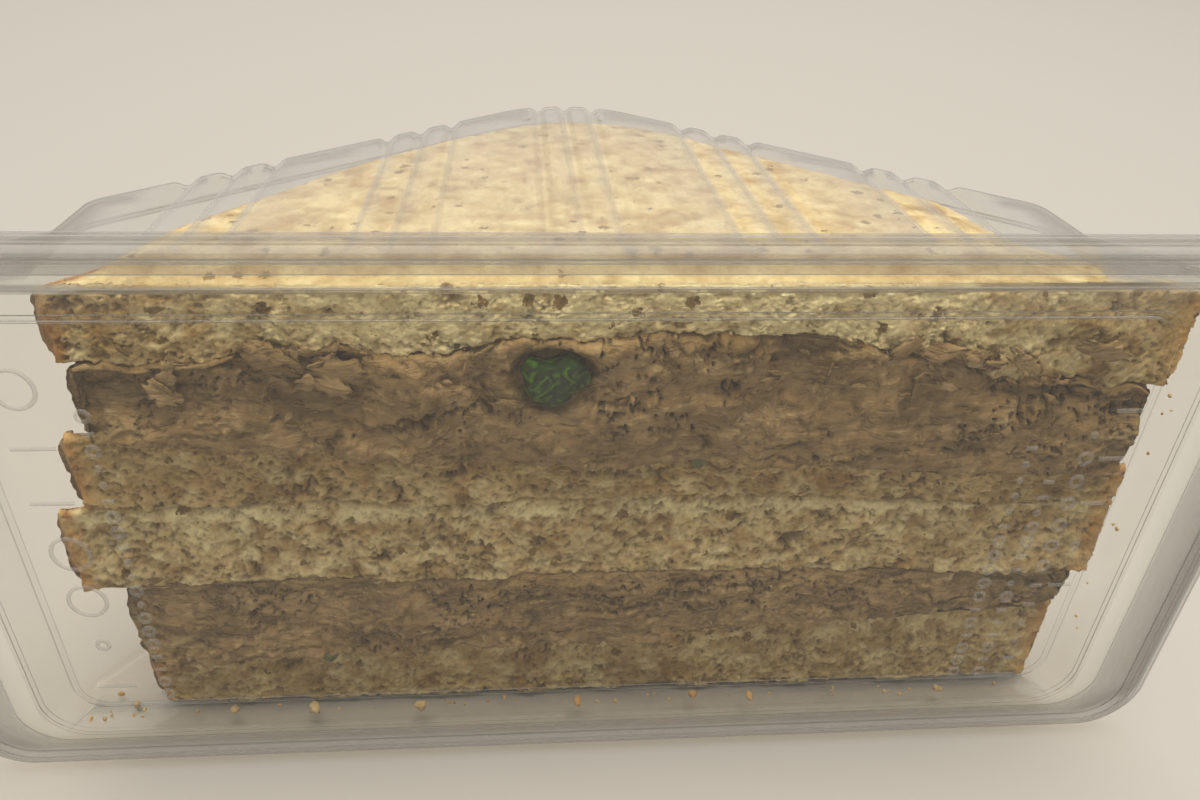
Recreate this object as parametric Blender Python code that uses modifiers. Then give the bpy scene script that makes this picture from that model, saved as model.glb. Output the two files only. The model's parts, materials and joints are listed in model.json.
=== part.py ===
"""A tuna salad sandwich, cut in two, stacked and shut in a clear hinged wedge pack.

Everything is modelled in the pack's own frame, in millimetres: x runs along the front window, v runs
back from it and w runs up it. World space is that frame tipped back by the draft of the end faces, so
that the pack's base lies flat on z = 0. Run this in Blender 4.5 to get one object for each piece.
"""

import math

import bmesh
import bpy
from mathutils import Matrix, Vector, noise
from mathutils.geometry import delaunay_2d_cdt

MM = 0.001
ROOT_TWO = math.sqrt(2.0)

# Driving sizes of the pack, in millimetres
FRAME_HALF_WIDTH = 91.5
FRAME_HEIGHT = 88.0
FRAME_CORNER = 9.0
DRAFT = math.radians(5.8)
SHEET = 0.6
BODY_HALF_WIDTH = 80.5
BODY_DIAGONAL = 94.0
BODY_SIDE_CORNER = 8.0
BODY_BACK_CORNER = 18.0
BODY_EDGE_ROUND = 3.0
SHOULDER_HEIGHT = 80.0
LIP_RISE = 2.3
LIP_DEPTH = 1.6
HEEL_RISE = 5.5
HEEL_DEPTH = 8.0
DOME_HALF_WIDTH = 66.0
DOME_FRONT = 2.4
DOME_DIAGONAL = 89.0
DOME_RISE = 4.3
DOME_RAMP = 3.0
GROOVE_GROUP_PITCH = 24.3
GROOVE_PITCH = 4.8
GROOVE_HALF_WIDTH = 1.4
GROOVE_DEPTH = 0.9
LID_FLANGE_V = -0.9
HINGE_V = -0.45
WINDOW_RECESS = 2.5
BEAD_RISE = 1.3

# Driving sizes of the food, in millimetres
CUT_FACE = 5.0
CUT_LEFT = -64.5
CUT_RIGHT = 79.0
LAYER_GAP = 0.85
FOOD_CLEARANCE = 0.6
BREAD_INNER = {"4": 12.5, "3": 13.0, "2": 12.0, "1": 13.0}
TUNA_LOWER_SHARE_INNER = 0.45
TUNA_INSET = 0.95
COLUMNS = 38
DEPTH_ROWS = 6
WALL_ROWS = 3

# How each layer looks at the cut: pairs of x and thickness, read from the left tip to the right one
CUT_THICKNESS = {
    "4": [(-66, 12.0), (0, 13.5), (40, 17.0), (80, 19.5)],
    "3": [(-70, 15.0), (80, 14.5)],
    "2": [(-66, 12.5), (-36, 10.0), (0, 7.4), (40, 6.4), (80, 6.5)],
    "1": [(-64, 10.5), (-48, 10.8), (-35, 8.4), (-23, 9.8), (-6, 7.4), (14, 6.6), (33, 7.6),
          (46, 10.6), (58, 14.3), (80, 16.0)],
}
TUNA_LOWER_SHARE = [(-66, 0.59), (0, 0.44), (42, 0.37), (80, 0.35)]

# The crust line of a half slice, as seen from above: x and v from the left tip round to the right one
CRUST = [(-65.2, 6.5), (-60, 12), (-50, 22), (-40, 36.5), (-31, 49), (-20, 61), (-9, 70.5), (2, 74.5),
         (13, 71.0), (24, 60.5), (35, 49), (47, 36), (58, 24.5), (70, 13.5), (79.3, 6.5)]


def clear_scene():
    """Remove every object that the file opened with."""
    for obj in list(bpy.data.objects):
        bpy.data.objects.remove(obj, do_unlink=True)


def new_collection(name):
    """A collection linked to the scene."""
    collection = bpy.data.collections.new(name)
    bpy.context.scene.collection.children.link(collection)
    return collection


def new_material(name, colour, roughness, alpha=1.0):
    """A Principled material with the piece's own colour, roughness and see-through."""
    material = bpy.data.materials.new(name)
    material.use_nodes = True
    shader = material.node_tree.nodes["Principled BSDF"]
    shader.inputs["Base Color"].default_value = (*colour, 1.0)
    shader.inputs["Roughness"].default_value = roughness
    shader.inputs["Metallic"].default_value = 0.0
    shader.inputs["Alpha"].default_value = alpha
    material.diffuse_color = (*colour, alpha)
    return material


def to_world():
    """The matrix from the pack's frame to world space: millimetres to metres, tipped back by the draft."""
    return Matrix.Rotation(-DRAFT, 4, "X") @ Matrix.Scale(MM, 4)


def add_object(name, points, faces, material, collection):
    """One mesh object from points in the pack's frame, welded and with its faces the same way round."""
    mesh = bpy.data.meshes.new(name)
    mesh.from_pydata([tuple(point) for point in points], [], faces)
    shape = bmesh.new()
    shape.from_mesh(mesh)
    bmesh.ops.remove_doubles(shape, verts=shape.verts, dist=0.002)
    bmesh.ops.transform(shape, matrix=to_world(), verts=shape.verts)
    bmesh.ops.recalc_face_normals(shape, faces=shape.faces)
    shape.to_mesh(mesh)
    shape.free()
    mesh.materials.append(material)
    obj = bpy.data.objects.new(name, mesh)
    collection.objects.link(obj)
    return obj


def add_sheet(obj, thickness):
    """Give an open surface the thickness of the formed plastic, half of it to each side."""
    solid = obj.modifiers.new("sheet", "SOLIDIFY")
    solid.thickness = thickness * MM
    solid.offset = 0.0
    solid.use_even_offset = True


def rounded_path(corners, radii, segments):
    """An open path through the corners, each one with an arc of its own radius."""
    path = []
    for index, (corner, radius) in enumerate(zip(corners, radii)):
        here = Vector(corner)
        if radius == 0.0:
            path.append(here)
            continue
        before = (Vector(corners[index - 1]) - here).normalized()
        after = (Vector(corners[(index + 1) % len(corners)]) - here).normalized()
        half_angle = before.angle(after) / 2.0
        reach = radius / math.tan(half_angle)
        centre = here + (before + after).normalized() * (radius / math.sin(half_angle))
        start = here + before * reach - centre
        end = here + after * reach - centre
        turn = start.angle(end)
        for step in range(segments + 1):
            share = step / segments
            weights = math.sin((1.0 - share) * turn), math.sin(share * turn)
            path.append(centre + (start * weights[0] + end * weights[1]) / math.sin(turn))
    return path


def rounded_rectangle(half_width, bottom, top, radius, segments=5):
    """A closed loop of x and w points, the same number whatever its size."""
    corners = [(half_width, bottom), (half_width, top), (-half_width, top), (-half_width, bottom)]
    return rounded_path(corners, [radius] * 4, segments)


def body_outline(inset):
    """The tray seen from above, as x and v points from the right front round the back to the left."""
    half = BODY_HALF_WIDTH - inset
    diagonal = BODY_DIAGONAL - inset * ROOT_TWO
    corners = [(half, 0.0), (half, diagonal - half), (0.0, diagonal)]
    corners += [(-x, v) for x, v in reversed(corners[:2])]
    radii = [0.0, BODY_SIDE_CORNER - inset, BODY_BACK_CORNER - inset, BODY_SIDE_CORNER - inset, 0.0]
    return rounded_path(corners, radii, 6)


def dome_outline(inset):
    """The raised panel of the top end face, as a closed loop of x and v points."""
    half = DOME_HALF_WIDTH - inset
    front = DOME_FRONT + inset
    diagonal = DOME_DIAGONAL - inset * ROOT_TWO
    corners = [(half, front), (half, diagonal - half), (0.0, diagonal)]
    corners += [(-x, v) for x, v in reversed(corners[:2])]
    radii = [4.5 - inset, 8.0 - inset, BODY_BACK_CORNER - inset, 8.0 - inset, 4.5 - inset]
    return rounded_path(corners, radii, 5)


def inside(point, loop):
    """Whether a point lies in a convex loop that runs anticlockwise."""
    ends = zip(loop, loop[1:] + loop[:1])
    return all((b - a).cross(Vector(point) - a) > -1e-6 for a, b in ends)


def distance_to(point, loop):
    """How far a point lies from the nearest edge of a closed loop."""
    nearest = math.inf
    for a, b in zip(loop, loop[1:] + loop[:1]):
        edge = b - a
        share = max(0.0, min(1.0, (Vector(point) - a).dot(edge) / edge.length_squared))
        nearest = min(nearest, (a + edge * share - Vector(point)).length)
    return nearest


def floor_height(v):
    """The height of the base above its front edge: it keeps flat on z = 0 in world space."""
    return v * math.tan(DRAFT)


def base_height(v):
    """The base, with the sloping heel that lifts its front edge to the window frame."""
    return floor_height(v) + HEEL_RISE * max(0.0, 1.0 - v / HEEL_DEPTH)


def shoulder_height(v):
    """The top end face outside its raised panel, with a lip at the window frame."""
    return SHOULDER_HEIGHT - v * math.tan(DRAFT) + LIP_RISE * max(0.0, 1.0 - v / LIP_DEPTH)


def groove_centres():
    """Where the five groups of three grooves run, front to back."""
    groups = [group * GROOVE_GROUP_PITCH for group in range(-2, 3)]
    return [centre + GROOVE_PITCH * step for centre in groups for step in (-1, 0, 1)]


def dome_height(x, v, foot):
    """How far the raised panel and its grooves stand above the shoulder."""
    if not inside((x, v), foot):
        return 0.0
    risen = min(1.0, distance_to((x, v), foot) / DOME_RAMP)
    nearest = min(abs(x - centre) for centre in groove_centres())
    groove = GROOVE_DEPTH * max(0.0, 1.0 - nearest / GROOVE_HALF_WIDTH)
    return (DOME_RISE - groove) * risen


def panel_faces(outline, inner_paths, height, keep=None):
    """Triangles over an outline in two directions, following the inner paths; height gives the third."""
    points = list(outline)
    edges = [(i, (i + 1) % len(outline)) for i in range(len(outline))]
    for path, closed in inner_paths:
        first = len(points)
        points += path
        edges += [(first + i, first + i + 1) for i in range(len(path) - 1)]
        if closed:
            edges.append((len(points) - 1, first))
    found, _, faces, _, _, _ = delaunay_2d_cdt(points, edges, [list(range(len(outline)))], 1, 1e-4)
    if keep:
        faces = [face for face in faces if keep(sum((found[i] for i in face), Vector((0, 0))) / len(face))]
    return [height(point) for point in found], faces


def groove_paths(foot):
    """Three lines for each groove, its two brims and its bottom, cut off where the panel ends."""
    paths = []
    for centre in groove_centres():
        for side in (-GROOVE_HALF_WIDTH, 0.0, GROOVE_HALF_WIDTH):
            x = centre + side
            reach = DOME_FRONT
            for a, b in zip(foot, foot[1:] + foot[:1]):
                if min(a.x, b.x) <= x <= max(a.x, b.x) and a.x != b.x:
                    reach = max(reach, a.y + (b.y - a.y) * (x - a.x) / (b.x - a.x))
            paths.append(([Vector((x, DOME_FRONT)), Vector((x, reach))], False))
    return paths


def tray_surface():
    """Points and faces of the tray: end faces, walls and the flange round its front opening."""
    points = []
    faces = []

    def add(new_points, new_faces):
        first = len(points)
        points.extend(new_points)
        faces.extend([first + i for i in face] for face in new_faces)

    foot = dome_outline(0.0)
    top_outline = body_outline(BODY_EDGE_ROUND)
    lip_half = top_outline[0].x
    lip_line = ([Vector((lip_half, LIP_DEPTH)), Vector((-lip_half, LIP_DEPTH))], False)
    top_paths = [(foot, True), (dome_outline(DOME_RAMP), True), lip_line] + groove_paths(foot)
    add(*panel_faces(
        top_outline, top_paths,
        lambda p: (p.x, p.y, shoulder_height(p.y) + dome_height(p.x, p.y, foot))))
    heel_line = ([Vector((lip_half, HEEL_DEPTH)), Vector((-lip_half, HEEL_DEPTH))], False)
    add(*panel_faces(top_outline, [heel_line], lambda p: (p.x, p.y, base_height(p.y))))

    rows = []
    for share in (1.0, 0.3, 0.0):
        inset = BODY_EDGE_ROUND * share
        drop = BODY_EDGE_ROUND * (0.0, 0.3, 1.0)[len(rows)]
        rows.append([(p.x, p.y, shoulder_height(p.y) - drop) for p in body_outline(inset)])
    for share in (0.0, 0.3, 1.0):
        inset = BODY_EDGE_ROUND * share
        lift = BODY_EDGE_ROUND * (1.0, 0.3, 0.0)[len(rows) - 3]
        rows.append([(p.x, p.y, base_height(p.y) + lift) for p in body_outline(inset)])
    width = len(rows[0])
    quads = [[r * width + i, r * width + i + 1, (r + 1) * width + i + 1, (r + 1) * width + i]
             for r in range(len(rows) - 1) for i in range(width - 1)]
    add([point for row in rows for point in row], quads)

    opening = [Vector((row[0][0], row[0][2])) for row in reversed(rows)]
    opening += [Vector((row[-1][0], row[-1][2])) for row in rows]
    frame = rounded_rectangle(FRAME_HALF_WIDTH, 0.0, FRAME_HEIGHT, FRAME_CORNER)
    add(*panel_faces(
        frame, [(opening, True)], lambda p: (p.x, 0.0, p.y), keep=lambda p: not inside(p, opening)))
    return points, faces


def lid_surface():
    """Points and faces of the lid: flange with its bead, then the recessed window."""
    flange = LID_FLANGE_V
    bead = flange - BEAD_RISE
    window = flange + WINDOW_RECESS
    loops = [
        (FRAME_HALF_WIDTH, 0.0, FRAME_HEIGHT, FRAME_CORNER, flange),
        (90.4, 0.8, 87.3, 8.2, flange),
        (89.9, 1.2, 86.9, 7.8, bead + 0.4),
        (89.0, 1.9, 86.1, 7.2, bead),
        (88.1, 2.7, 85.3, 6.6, bead + 0.4),
        (87.6, 3.1, 84.9, 6.2, flange),
        (79.4, 6.3, 82.0, 7.0, flange),
        (78.6, 7.0, 81.2, 6.6, flange + 0.5),
        (75.6, 9.0, 77.6, 5.0, window - 0.4),
        (74.6, 9.8, 76.6, 4.4, window),
    ]
    points = []
    for half_width, bottom, top, radius, v in loops:
        points += [(p.x, v, p.y) for p in rounded_rectangle(half_width, bottom, top, radius)]
    width = len(points) // len(loops)
    faces = [[r * width + i, r * width + (i + 1) % width, (r + 1) * width + (i + 1) % width,
              (r + 1) * width + i] for r in range(len(loops) - 1) for i in range(width)]
    faces.append(list(range((len(loops) - 1) * width, len(loops) * width)))
    return points, faces


def smooth_step(share):
    """A share from 0 to 1, eased at both ends."""
    share = max(0.0, min(1.0, share))
    return share * share * (3.0 - 2.0 * share)


def along(x, pairs):
    """A value read between x and value pairs, eased so that the line has no kinks."""
    if x <= pairs[0][0]:
        return pairs[0][1]
    for (x0, low), (x1, high) in zip(pairs, pairs[1:]):
        if x <= x1:
            return low + (high - low) * smooth_step((x - x0) / (x1 - x0))
    return pairs[-1][1]


def inwards(x, v):
    """0 at the cut face and 1 at the crust, for a point seen from above."""
    crust_v = 84.0 - abs(x - 3.0)
    return smooth_step((v - CUT_FACE - 1.0) / max(10.0, crust_v - CUT_FACE - 1.0))


def bread_top(x, v):
    """The upper face of the top slice: low under the shoulders, up into the raised panel between them."""
    under_dome = smooth_step((62.0 - abs(x)) / 12.0) * smooth_step((v - CUT_FACE) / 8.0)
    return SHOULDER_HEIGHT - v * math.tan(DRAFT) - SHEET / 2.0 - FOOD_CLEARANCE + 3.1 * under_dome


def thickness(layer, x, v):
    """The thickness of one bread slice at a point seen from above."""
    share = inwards(x, v)
    return along(x, CUT_THICKNESS[layer]) * (1.0 - share) + BREAD_INNER[layer] * share


def interface(level, x, v):
    """The height of the middle of a gap between layers, counted up from 0 under the bottom slice."""
    bottom = floor_height(v) + SHEET / 2.0 + FOOD_CLEARANCE / 2.0
    if level == 0:
        return bottom
    slices = {name: thickness(name, x, v) for name in CUT_THICKNESS}
    filling = bread_top(x, v) - bottom - sum(slices.values())
    share = inwards(x, v)
    lower = along(x, TUNA_LOWER_SHARE) * (1.0 - share) + TUNA_LOWER_SHARE_INNER * share
    steps = [slices["4"], filling * lower, slices["3"], slices["2"], filling * (1.0 - lower), slices["1"]]
    return bottom + sum(steps[:level])


def smooth_curve(knots, share):
    """A point on the smooth curve through the knots, at a share of the way along it."""
    spot = share * (len(knots) - 1)
    index = min(int(spot), len(knots) - 2)
    t = spot - index
    p0, p1, p2, p3 = (Vector(knots[max(0, min(len(knots) - 1, index + k))]) for k in (-1, 0, 1, 2))
    return 0.5 * (2 * p1 + (p2 - p0) * t + (2 * p0 - 5 * p1 + 4 * p2 - p3) * t * t
                  + (3 * p1 - p0 - 3 * p2 + p3) * t * t * t)


def plan_point(layer, a, b):
    """A layer seen from above: a runs from its left tip to its right one, b from the cut to the crust."""
    crust = smooth_curve(CRUST, a)
    cut = Vector((CUT_LEFT + (CUT_RIGHT - CUT_LEFT) * a, CUT_FACE))
    spot = cut.lerp(crust, b * layer["reach"])
    stretch = (layer["right"] - layer["left"]) / (CUT_RIGHT - CUT_LEFT)
    return Vector((layer["left"] + (spot.x - CUT_LEFT) * stretch, spot.y + layer["front"] - CUT_FACE))


def layer_surface(layer):
    """Points and faces of one closed layer of the sandwich."""
    points = []
    index = {}

    def place(key, point):
        index[key] = len(points)
        points.append(point)

    for i in range(COLUMNS + 1):
        for j in range(DEPTH_ROWS + 1):
            spot = plan_point(layer, i / COLUMNS, j / DEPTH_ROWS)
            low = interface(layer["level"], spot.x, spot.y) + LAYER_GAP / 2.0
            high = interface(layer["level"] + 1, spot.x, spot.y) - LAYER_GAP / 2.0
            place((i, j, 0), (spot.x, spot.y, low))
            place((i, j, WALL_ROWS), (spot.x, spot.y, high))
    border = [(i, 0) for i in range(COLUMNS)] + [(COLUMNS, j) for j in range(DEPTH_ROWS)]
    border += [(i, DEPTH_ROWS) for i in range(COLUMNS, 0, -1)] + [(0, j) for j in range(DEPTH_ROWS, 0, -1)]
    for i, j in border:
        low = Vector(points[index[i, j, 0]])
        high = Vector(points[index[i, j, WALL_ROWS]])
        for k in range(1, WALL_ROWS):
            spot = low.lerp(high, k / WALL_ROWS)
            if j == 0:
                rough = noise.noise(spot * 0.16 + Vector((layer["level"] * 9.0, 0.0, 0.0)))
                spot.y += layer["ragged"] * (rough - layer["bulge"])
            elif j == DEPTH_ROWS:
                spot += (plan_point(layer, i / COLUMNS, 1.0) - Vector((4.0, 30.0))).normalized().to_3d()
            place((i, j, k), spot)
    faces = []
    for i in range(COLUMNS):
        for j in range(DEPTH_ROWS):
            around = [(i, j), (i + 1, j), (i + 1, j + 1), (i, j + 1)]
            faces.append([index[(*corner, 0)] for corner in reversed(around)])
            faces.append([index[(*corner, WALL_ROWS)] for corner in around])
    for here, after in zip(border, border[1:] + border[:1]):
        for k in range(WALL_ROWS):
            corners = [(*here, k), (*after, k), (*after, k + 1), (*here, k + 1)]
            faces.append([index[corner] for corner in corners])
    return points, faces


def pepper_lump(name, size, material, collection):
    """The green vegetable piece in the upper filling, a flattened lump with an uneven outline."""
    shape = bmesh.new()
    bmesh.ops.create_uvsphere(shape, u_segments=16, v_segments=9, radius=1.0)
    for vert in shape.verts:
        vert.co *= 1.0 + 0.16 * noise.noise(vert.co * 1.7)
        vert.co = Vector((vert.co.x * size[0], vert.co.y * size[1], vert.co.z * size[2]))
    turn = Matrix.Translation(PEPPER_CENTRE) @ Matrix.Rotation(math.radians(12.0), 4, "Y")
    bmesh.ops.transform(shape, matrix=to_world() @ turn, verts=shape.verts)
    mesh = bpy.data.meshes.new(name)
    shape.to_mesh(mesh)
    shape.free()
    mesh.materials.append(material)
    obj = bpy.data.objects.new(name, mesh)
    collection.objects.link(obj)
    return obj


PEPPER_HALF_SIZE = (4.6, 1.9, 3.5)
PEPPER_CENTRE = (-4.3, 5.0, 65.3)
PEPPER_GAP = 0.35

SLICES = [
    {"name": "bread_slice_4", "level": 0, "left": -65.5, "right": 77.0, "front": 8.0, "reach": 1.0},
    {"name": "bread_slice_3", "level": 2, "left": -71.0, "right": 78.7, "front": 5.8, "reach": 1.0},
    {"name": "bread_slice_2", "level": 3, "left": -67.0, "right": 78.4, "front": 5.4, "reach": 1.0},
    {"name": "bread_slice_1", "level": 5, "left": -64.5, "right": 78.8, "front": 5.0, "reach": 1.0},
]
FILLINGS = [
    {"name": "tuna_salad_lower", "level": 1, "left": -65.0, "right": 76.0, "front": 6.0},
    {"name": "tuna_salad_upper", "level": 4, "left": -62.5, "right": 76.0, "front": 4.0},
]


def build_pack(collection):
    """The tray and the lid, each a formed sheet."""
    clear = new_material("clear_plastic", (0.93, 0.94, 0.95), 0.08, alpha=0.25)
    tray = add_object("tray", *tray_surface(), clear, collection)
    lid = add_object("lid", *lid_surface(), clear, collection)
    for obj in (tray, lid):
        add_sheet(obj, SHEET if obj is tray else SHEET - 0.1)
    return [tray, lid]


def build_food(collection, cutters):
    """Four slices of bread, two layers of tuna salad and the green piece in the upper one."""
    bread = new_material("bread", (0.72, 0.62, 0.42), 0.85)
    tuna = new_material("tuna_salad", (0.46, 0.36, 0.26), 0.55)
    pepper = new_material("green_pepper", (0.05, 0.17, 0.03), 0.3)
    pieces = []
    for layer in SLICES:
        points, faces = layer_surface({**layer, "ragged": 0.9, "bulge": 0.0})
        pieces.append(add_object(layer["name"], points, faces, bread, collection))
    for layer in FILLINGS:
        points, faces = layer_surface({**layer, "reach": TUNA_INSET, "ragged": 1.2, "bulge": 0.3})
        pieces.append(add_object(layer["name"], points, faces, tuna, collection))
    pieces.append(pepper_lump("green_pepper_piece", PEPPER_HALF_SIZE, pepper, collection))
    room = [half + PEPPER_GAP for half in PEPPER_HALF_SIZE]
    pocket = pepper_lump("pepper_pocket", room, pepper, cutters)
    pocket.hide_render = True
    pocket.display_type = "WIRE"
    cut = bpy.data.objects["tuna_salad_upper"].modifiers.new("pepper_pocket", "BOOLEAN")
    cut.operation = "DIFFERENCE"
    cut.object = pocket
    return pieces + [pocket]


def centre_on_floor(objects, lid):
    """Put the origin at the bottom, in the middle of the bounding box, and the lid's own on its hinge."""
    bpy.context.view_layer.update()
    graph = bpy.context.evaluated_depsgraph_get()
    corners = [obj.matrix_world @ Vector(corner) for obj in objects
               for corner in obj.evaluated_get(graph).bound_box]
    low = Vector([min(corner[axis] for corner in corners) for axis in range(3)])
    high = Vector([max(corner[axis] for corner in corners) for axis in range(3)])
    shift = Vector((-(low.x + high.x) / 2.0, -(low.y + high.y) / 2.0, -low.z))
    for obj in objects:
        obj.location = shift
    hinge = to_world() @ Vector((0.0, HINGE_V, FRAME_HEIGHT))
    lid.data.transform(Matrix.Translation(-hinge))
    lid.location = shift + hinge
    print("hinge axis passes", [round(value, 5) for value in lid.location])


def main():
    """Build the whole model."""
    clear_scene()
    parts = new_collection("tuna_salad_sandwich")
    cutters = new_collection("cutters")
    cutters.hide_render = True
    objects = build_pack(parts) + build_food(parts, cutters)
    centre_on_floor(objects, bpy.data.objects["lid"])


main()
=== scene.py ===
"""Dresses a tuna salad sandwich, cut in two and shut in its clear wedge pack.

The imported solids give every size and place. This file makes what the eye sees: open bread crumb, browned
crust, flaked tuna bound with mayonnaise, a piece of green pepper, loose crumbs and the clear formed sheet
of the pack, and then the floor, the lights and the camera.

Shapes are worked out in the pack's own frame, in millimetres: x runs along the window, v runs back from
it and w runs up it. World space is that frame tipped back by the draft of the end faces.
"""

import json
import logging
import math
from dataclasses import dataclass, field
from enum import Enum, IntEnum
from itertools import product

import bmesh
import bpy
import numpy as np
from mathutils import Matrix, Vector
from mathutils.geometry import delaunay_2d_cdt

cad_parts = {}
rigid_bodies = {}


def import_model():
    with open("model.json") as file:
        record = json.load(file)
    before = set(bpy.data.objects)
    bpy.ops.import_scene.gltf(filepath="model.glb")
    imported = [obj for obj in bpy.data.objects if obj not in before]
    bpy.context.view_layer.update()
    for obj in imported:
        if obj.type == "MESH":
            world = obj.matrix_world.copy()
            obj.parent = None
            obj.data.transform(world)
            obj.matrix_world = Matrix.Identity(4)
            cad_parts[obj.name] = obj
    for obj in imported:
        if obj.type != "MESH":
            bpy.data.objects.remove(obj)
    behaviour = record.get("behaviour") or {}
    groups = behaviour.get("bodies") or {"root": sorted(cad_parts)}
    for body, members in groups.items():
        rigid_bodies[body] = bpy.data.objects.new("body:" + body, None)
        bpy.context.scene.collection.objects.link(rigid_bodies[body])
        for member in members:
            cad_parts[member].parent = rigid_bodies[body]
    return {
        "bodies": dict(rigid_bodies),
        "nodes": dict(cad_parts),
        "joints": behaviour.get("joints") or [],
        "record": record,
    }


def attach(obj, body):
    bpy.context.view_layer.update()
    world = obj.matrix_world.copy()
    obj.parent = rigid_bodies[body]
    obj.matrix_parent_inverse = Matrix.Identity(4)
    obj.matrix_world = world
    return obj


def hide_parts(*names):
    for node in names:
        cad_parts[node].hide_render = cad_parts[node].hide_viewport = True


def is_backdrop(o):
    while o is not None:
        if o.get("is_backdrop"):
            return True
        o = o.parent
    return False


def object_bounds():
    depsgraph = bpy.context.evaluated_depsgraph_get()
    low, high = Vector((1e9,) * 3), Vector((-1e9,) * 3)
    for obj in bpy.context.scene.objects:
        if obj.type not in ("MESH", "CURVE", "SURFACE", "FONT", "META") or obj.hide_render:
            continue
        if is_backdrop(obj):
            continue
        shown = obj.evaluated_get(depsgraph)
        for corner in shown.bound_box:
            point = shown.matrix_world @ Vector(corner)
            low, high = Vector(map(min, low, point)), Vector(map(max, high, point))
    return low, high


LOG = logging.getLogger("sandwich")
MM = 0.001
# In the pack's frame, in millimetres: the line that the food keeps behind the window's pane, and the
# sloping heel at the front of the base
PANE_BACK_V = 2.2
HEEL_RISE, HEEL_DEPTH = 5.5, 8.0


def srgb(code: str) -> tuple[float, float, float, float]:
    """Turn an sRGB hex colour into linear light.

    Args:
        code: six hex digits.
    Returns:
        Red, green, blue and a full alpha, for a shader socket.
    """
    parts = (int(code[i:i + 2], 16) / 255.0 for i in (0, 2, 4))
    red, green, blue = (p / 12.92 if p <= 0.04045 else ((p + 0.055) / 1.055) ** 2.4 for p in parts)
    return red, green, blue, 1.0


def per_mm(size_mm: float) -> float:
    """The texture scale at which one period of a pattern measures size_mm."""
    return 1000.0 / size_mm


def add_node(tree: bpy.types.NodeTree, kind: str, inputs: dict | None = None, **settings) -> bpy.types.Node:
    """Add one shader node with its settings and links.

    Args:
        tree: the node tree of the material.
        kind: the node's type, without its ShaderNode prefix.
        inputs: socket name or index, with a value or with the output socket that feeds it.
        settings: the node's own properties.
    Returns:
        The new node.
    """
    node = tree.nodes.new("ShaderNode" + kind)
    for name, value in settings.items():
        setattr(node, name, value)
    for key, value in (inputs or {}).items():
        if isinstance(value, bpy.types.NodeSocket):
            tree.links.new(value, node.inputs[key])
        else:
            node.inputs[key].default_value = value
    return node


def empty_material(name: str) -> tuple[bpy.types.Material, bpy.types.NodeTree, bpy.types.Node]:
    """A material with nothing but its output node.

    Args:
        name: the material's name.
    Returns:
        The material, its node tree and the output node.
    """
    material = bpy.data.materials.new(name)
    material.use_nodes = True
    material.node_tree.nodes.clear()
    output = add_node(material.node_tree, "OutputMaterial")
    return material, material.node_tree, output


# Noise


def cell_values(cells: np.ndarray, seed: int) -> np.ndarray:
    """A repeatable value from 0 to 1 for each whole-number cell.

    Args:
        cells: whole numbers, with the three axes last.
        seed: which set of values to give.
    Returns:
        One value for each cell.
    """
    mixed = cells[..., 0] * 73856093 ^ cells[..., 1] * 19349663 ^ cells[..., 2] * 83492791 ^ seed * 2971215073
    mixed = (mixed ^ (mixed >> 13)) * 1274126177
    return ((mixed ^ (mixed >> 16)) & 0xFFFFFF) / float(0x1000000)


def soft_noise(points: np.ndarray, seed: int) -> np.ndarray:
    """Smooth noise from -1 to 1 with a period of one unit.

    Args:
        points: an array with the three axes last.
        seed: which noise to give.
    Returns:
        One value for each point.
    """
    base = np.floor(points).astype(np.int64)
    part = points - base
    part = part ** 3 * (part * (part * 6.0 - 15.0) + 10.0)
    total = np.zeros(points.shape[:-1])
    for corner in product((0, 1), repeat=3):
        weight = np.prod(np.where(np.array(corner) == 1, part, 1.0 - part), axis=-1)
        total += weight * cell_values(base + np.array(corner), seed)
    return total * 2.0 - 1.0


def layered_noise(points: np.ndarray, seed: int, octaves: int = 4, gain: float = 0.5) -> np.ndarray:
    """Smooth noise summed over finer and finer octaves.

    Args:
        points: an array with the three axes last.
        seed: which noise to give.
        octaves: how many times the scale is doubled, plus one.
        gain: how much of its strength each octave keeps.
    Returns:
        One value for each point, roughly from -1 to 1.
    """
    total = np.zeros(points.shape[:-1])
    strength = 1.0
    for octave in range(octaves):
        total += strength * soft_noise(points * 2.03 ** octave + 17.3 * octave, seed + octave)
        strength *= gain
    return total / (2.0 - 2.0 * gain ** octaves) * 1.4


def holes(points: np.ndarray, seed: int, radius: tuple[float, float]) -> np.ndarray:
    """Round holes scattered one to a cell, each with its own radius.

    Args:
        points: an array with the three axes last.
        seed: which set of holes to give.
        radius: the smallest and the largest radius, in cells.
    Returns:
        0 outside the holes, rising to 1 in the middle of each.
    """
    base = np.floor(points).astype(np.int64)
    depth = np.zeros(points.shape[:-1])
    for step in product((-1, 0, 1), repeat=3):
        cells = base + np.array(step)
        centre = cells + np.stack([cell_values(cells, seed + k) for k in (1, 2, 3)], axis=-1)
        size = radius[0] + (radius[1] - radius[0]) * cell_values(cells, seed + 4) ** 2
        depth = np.maximum(depth, 1.0 - np.linalg.norm(points - centre, axis=-1) / size)
    return ease(depth * 1.6)


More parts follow.
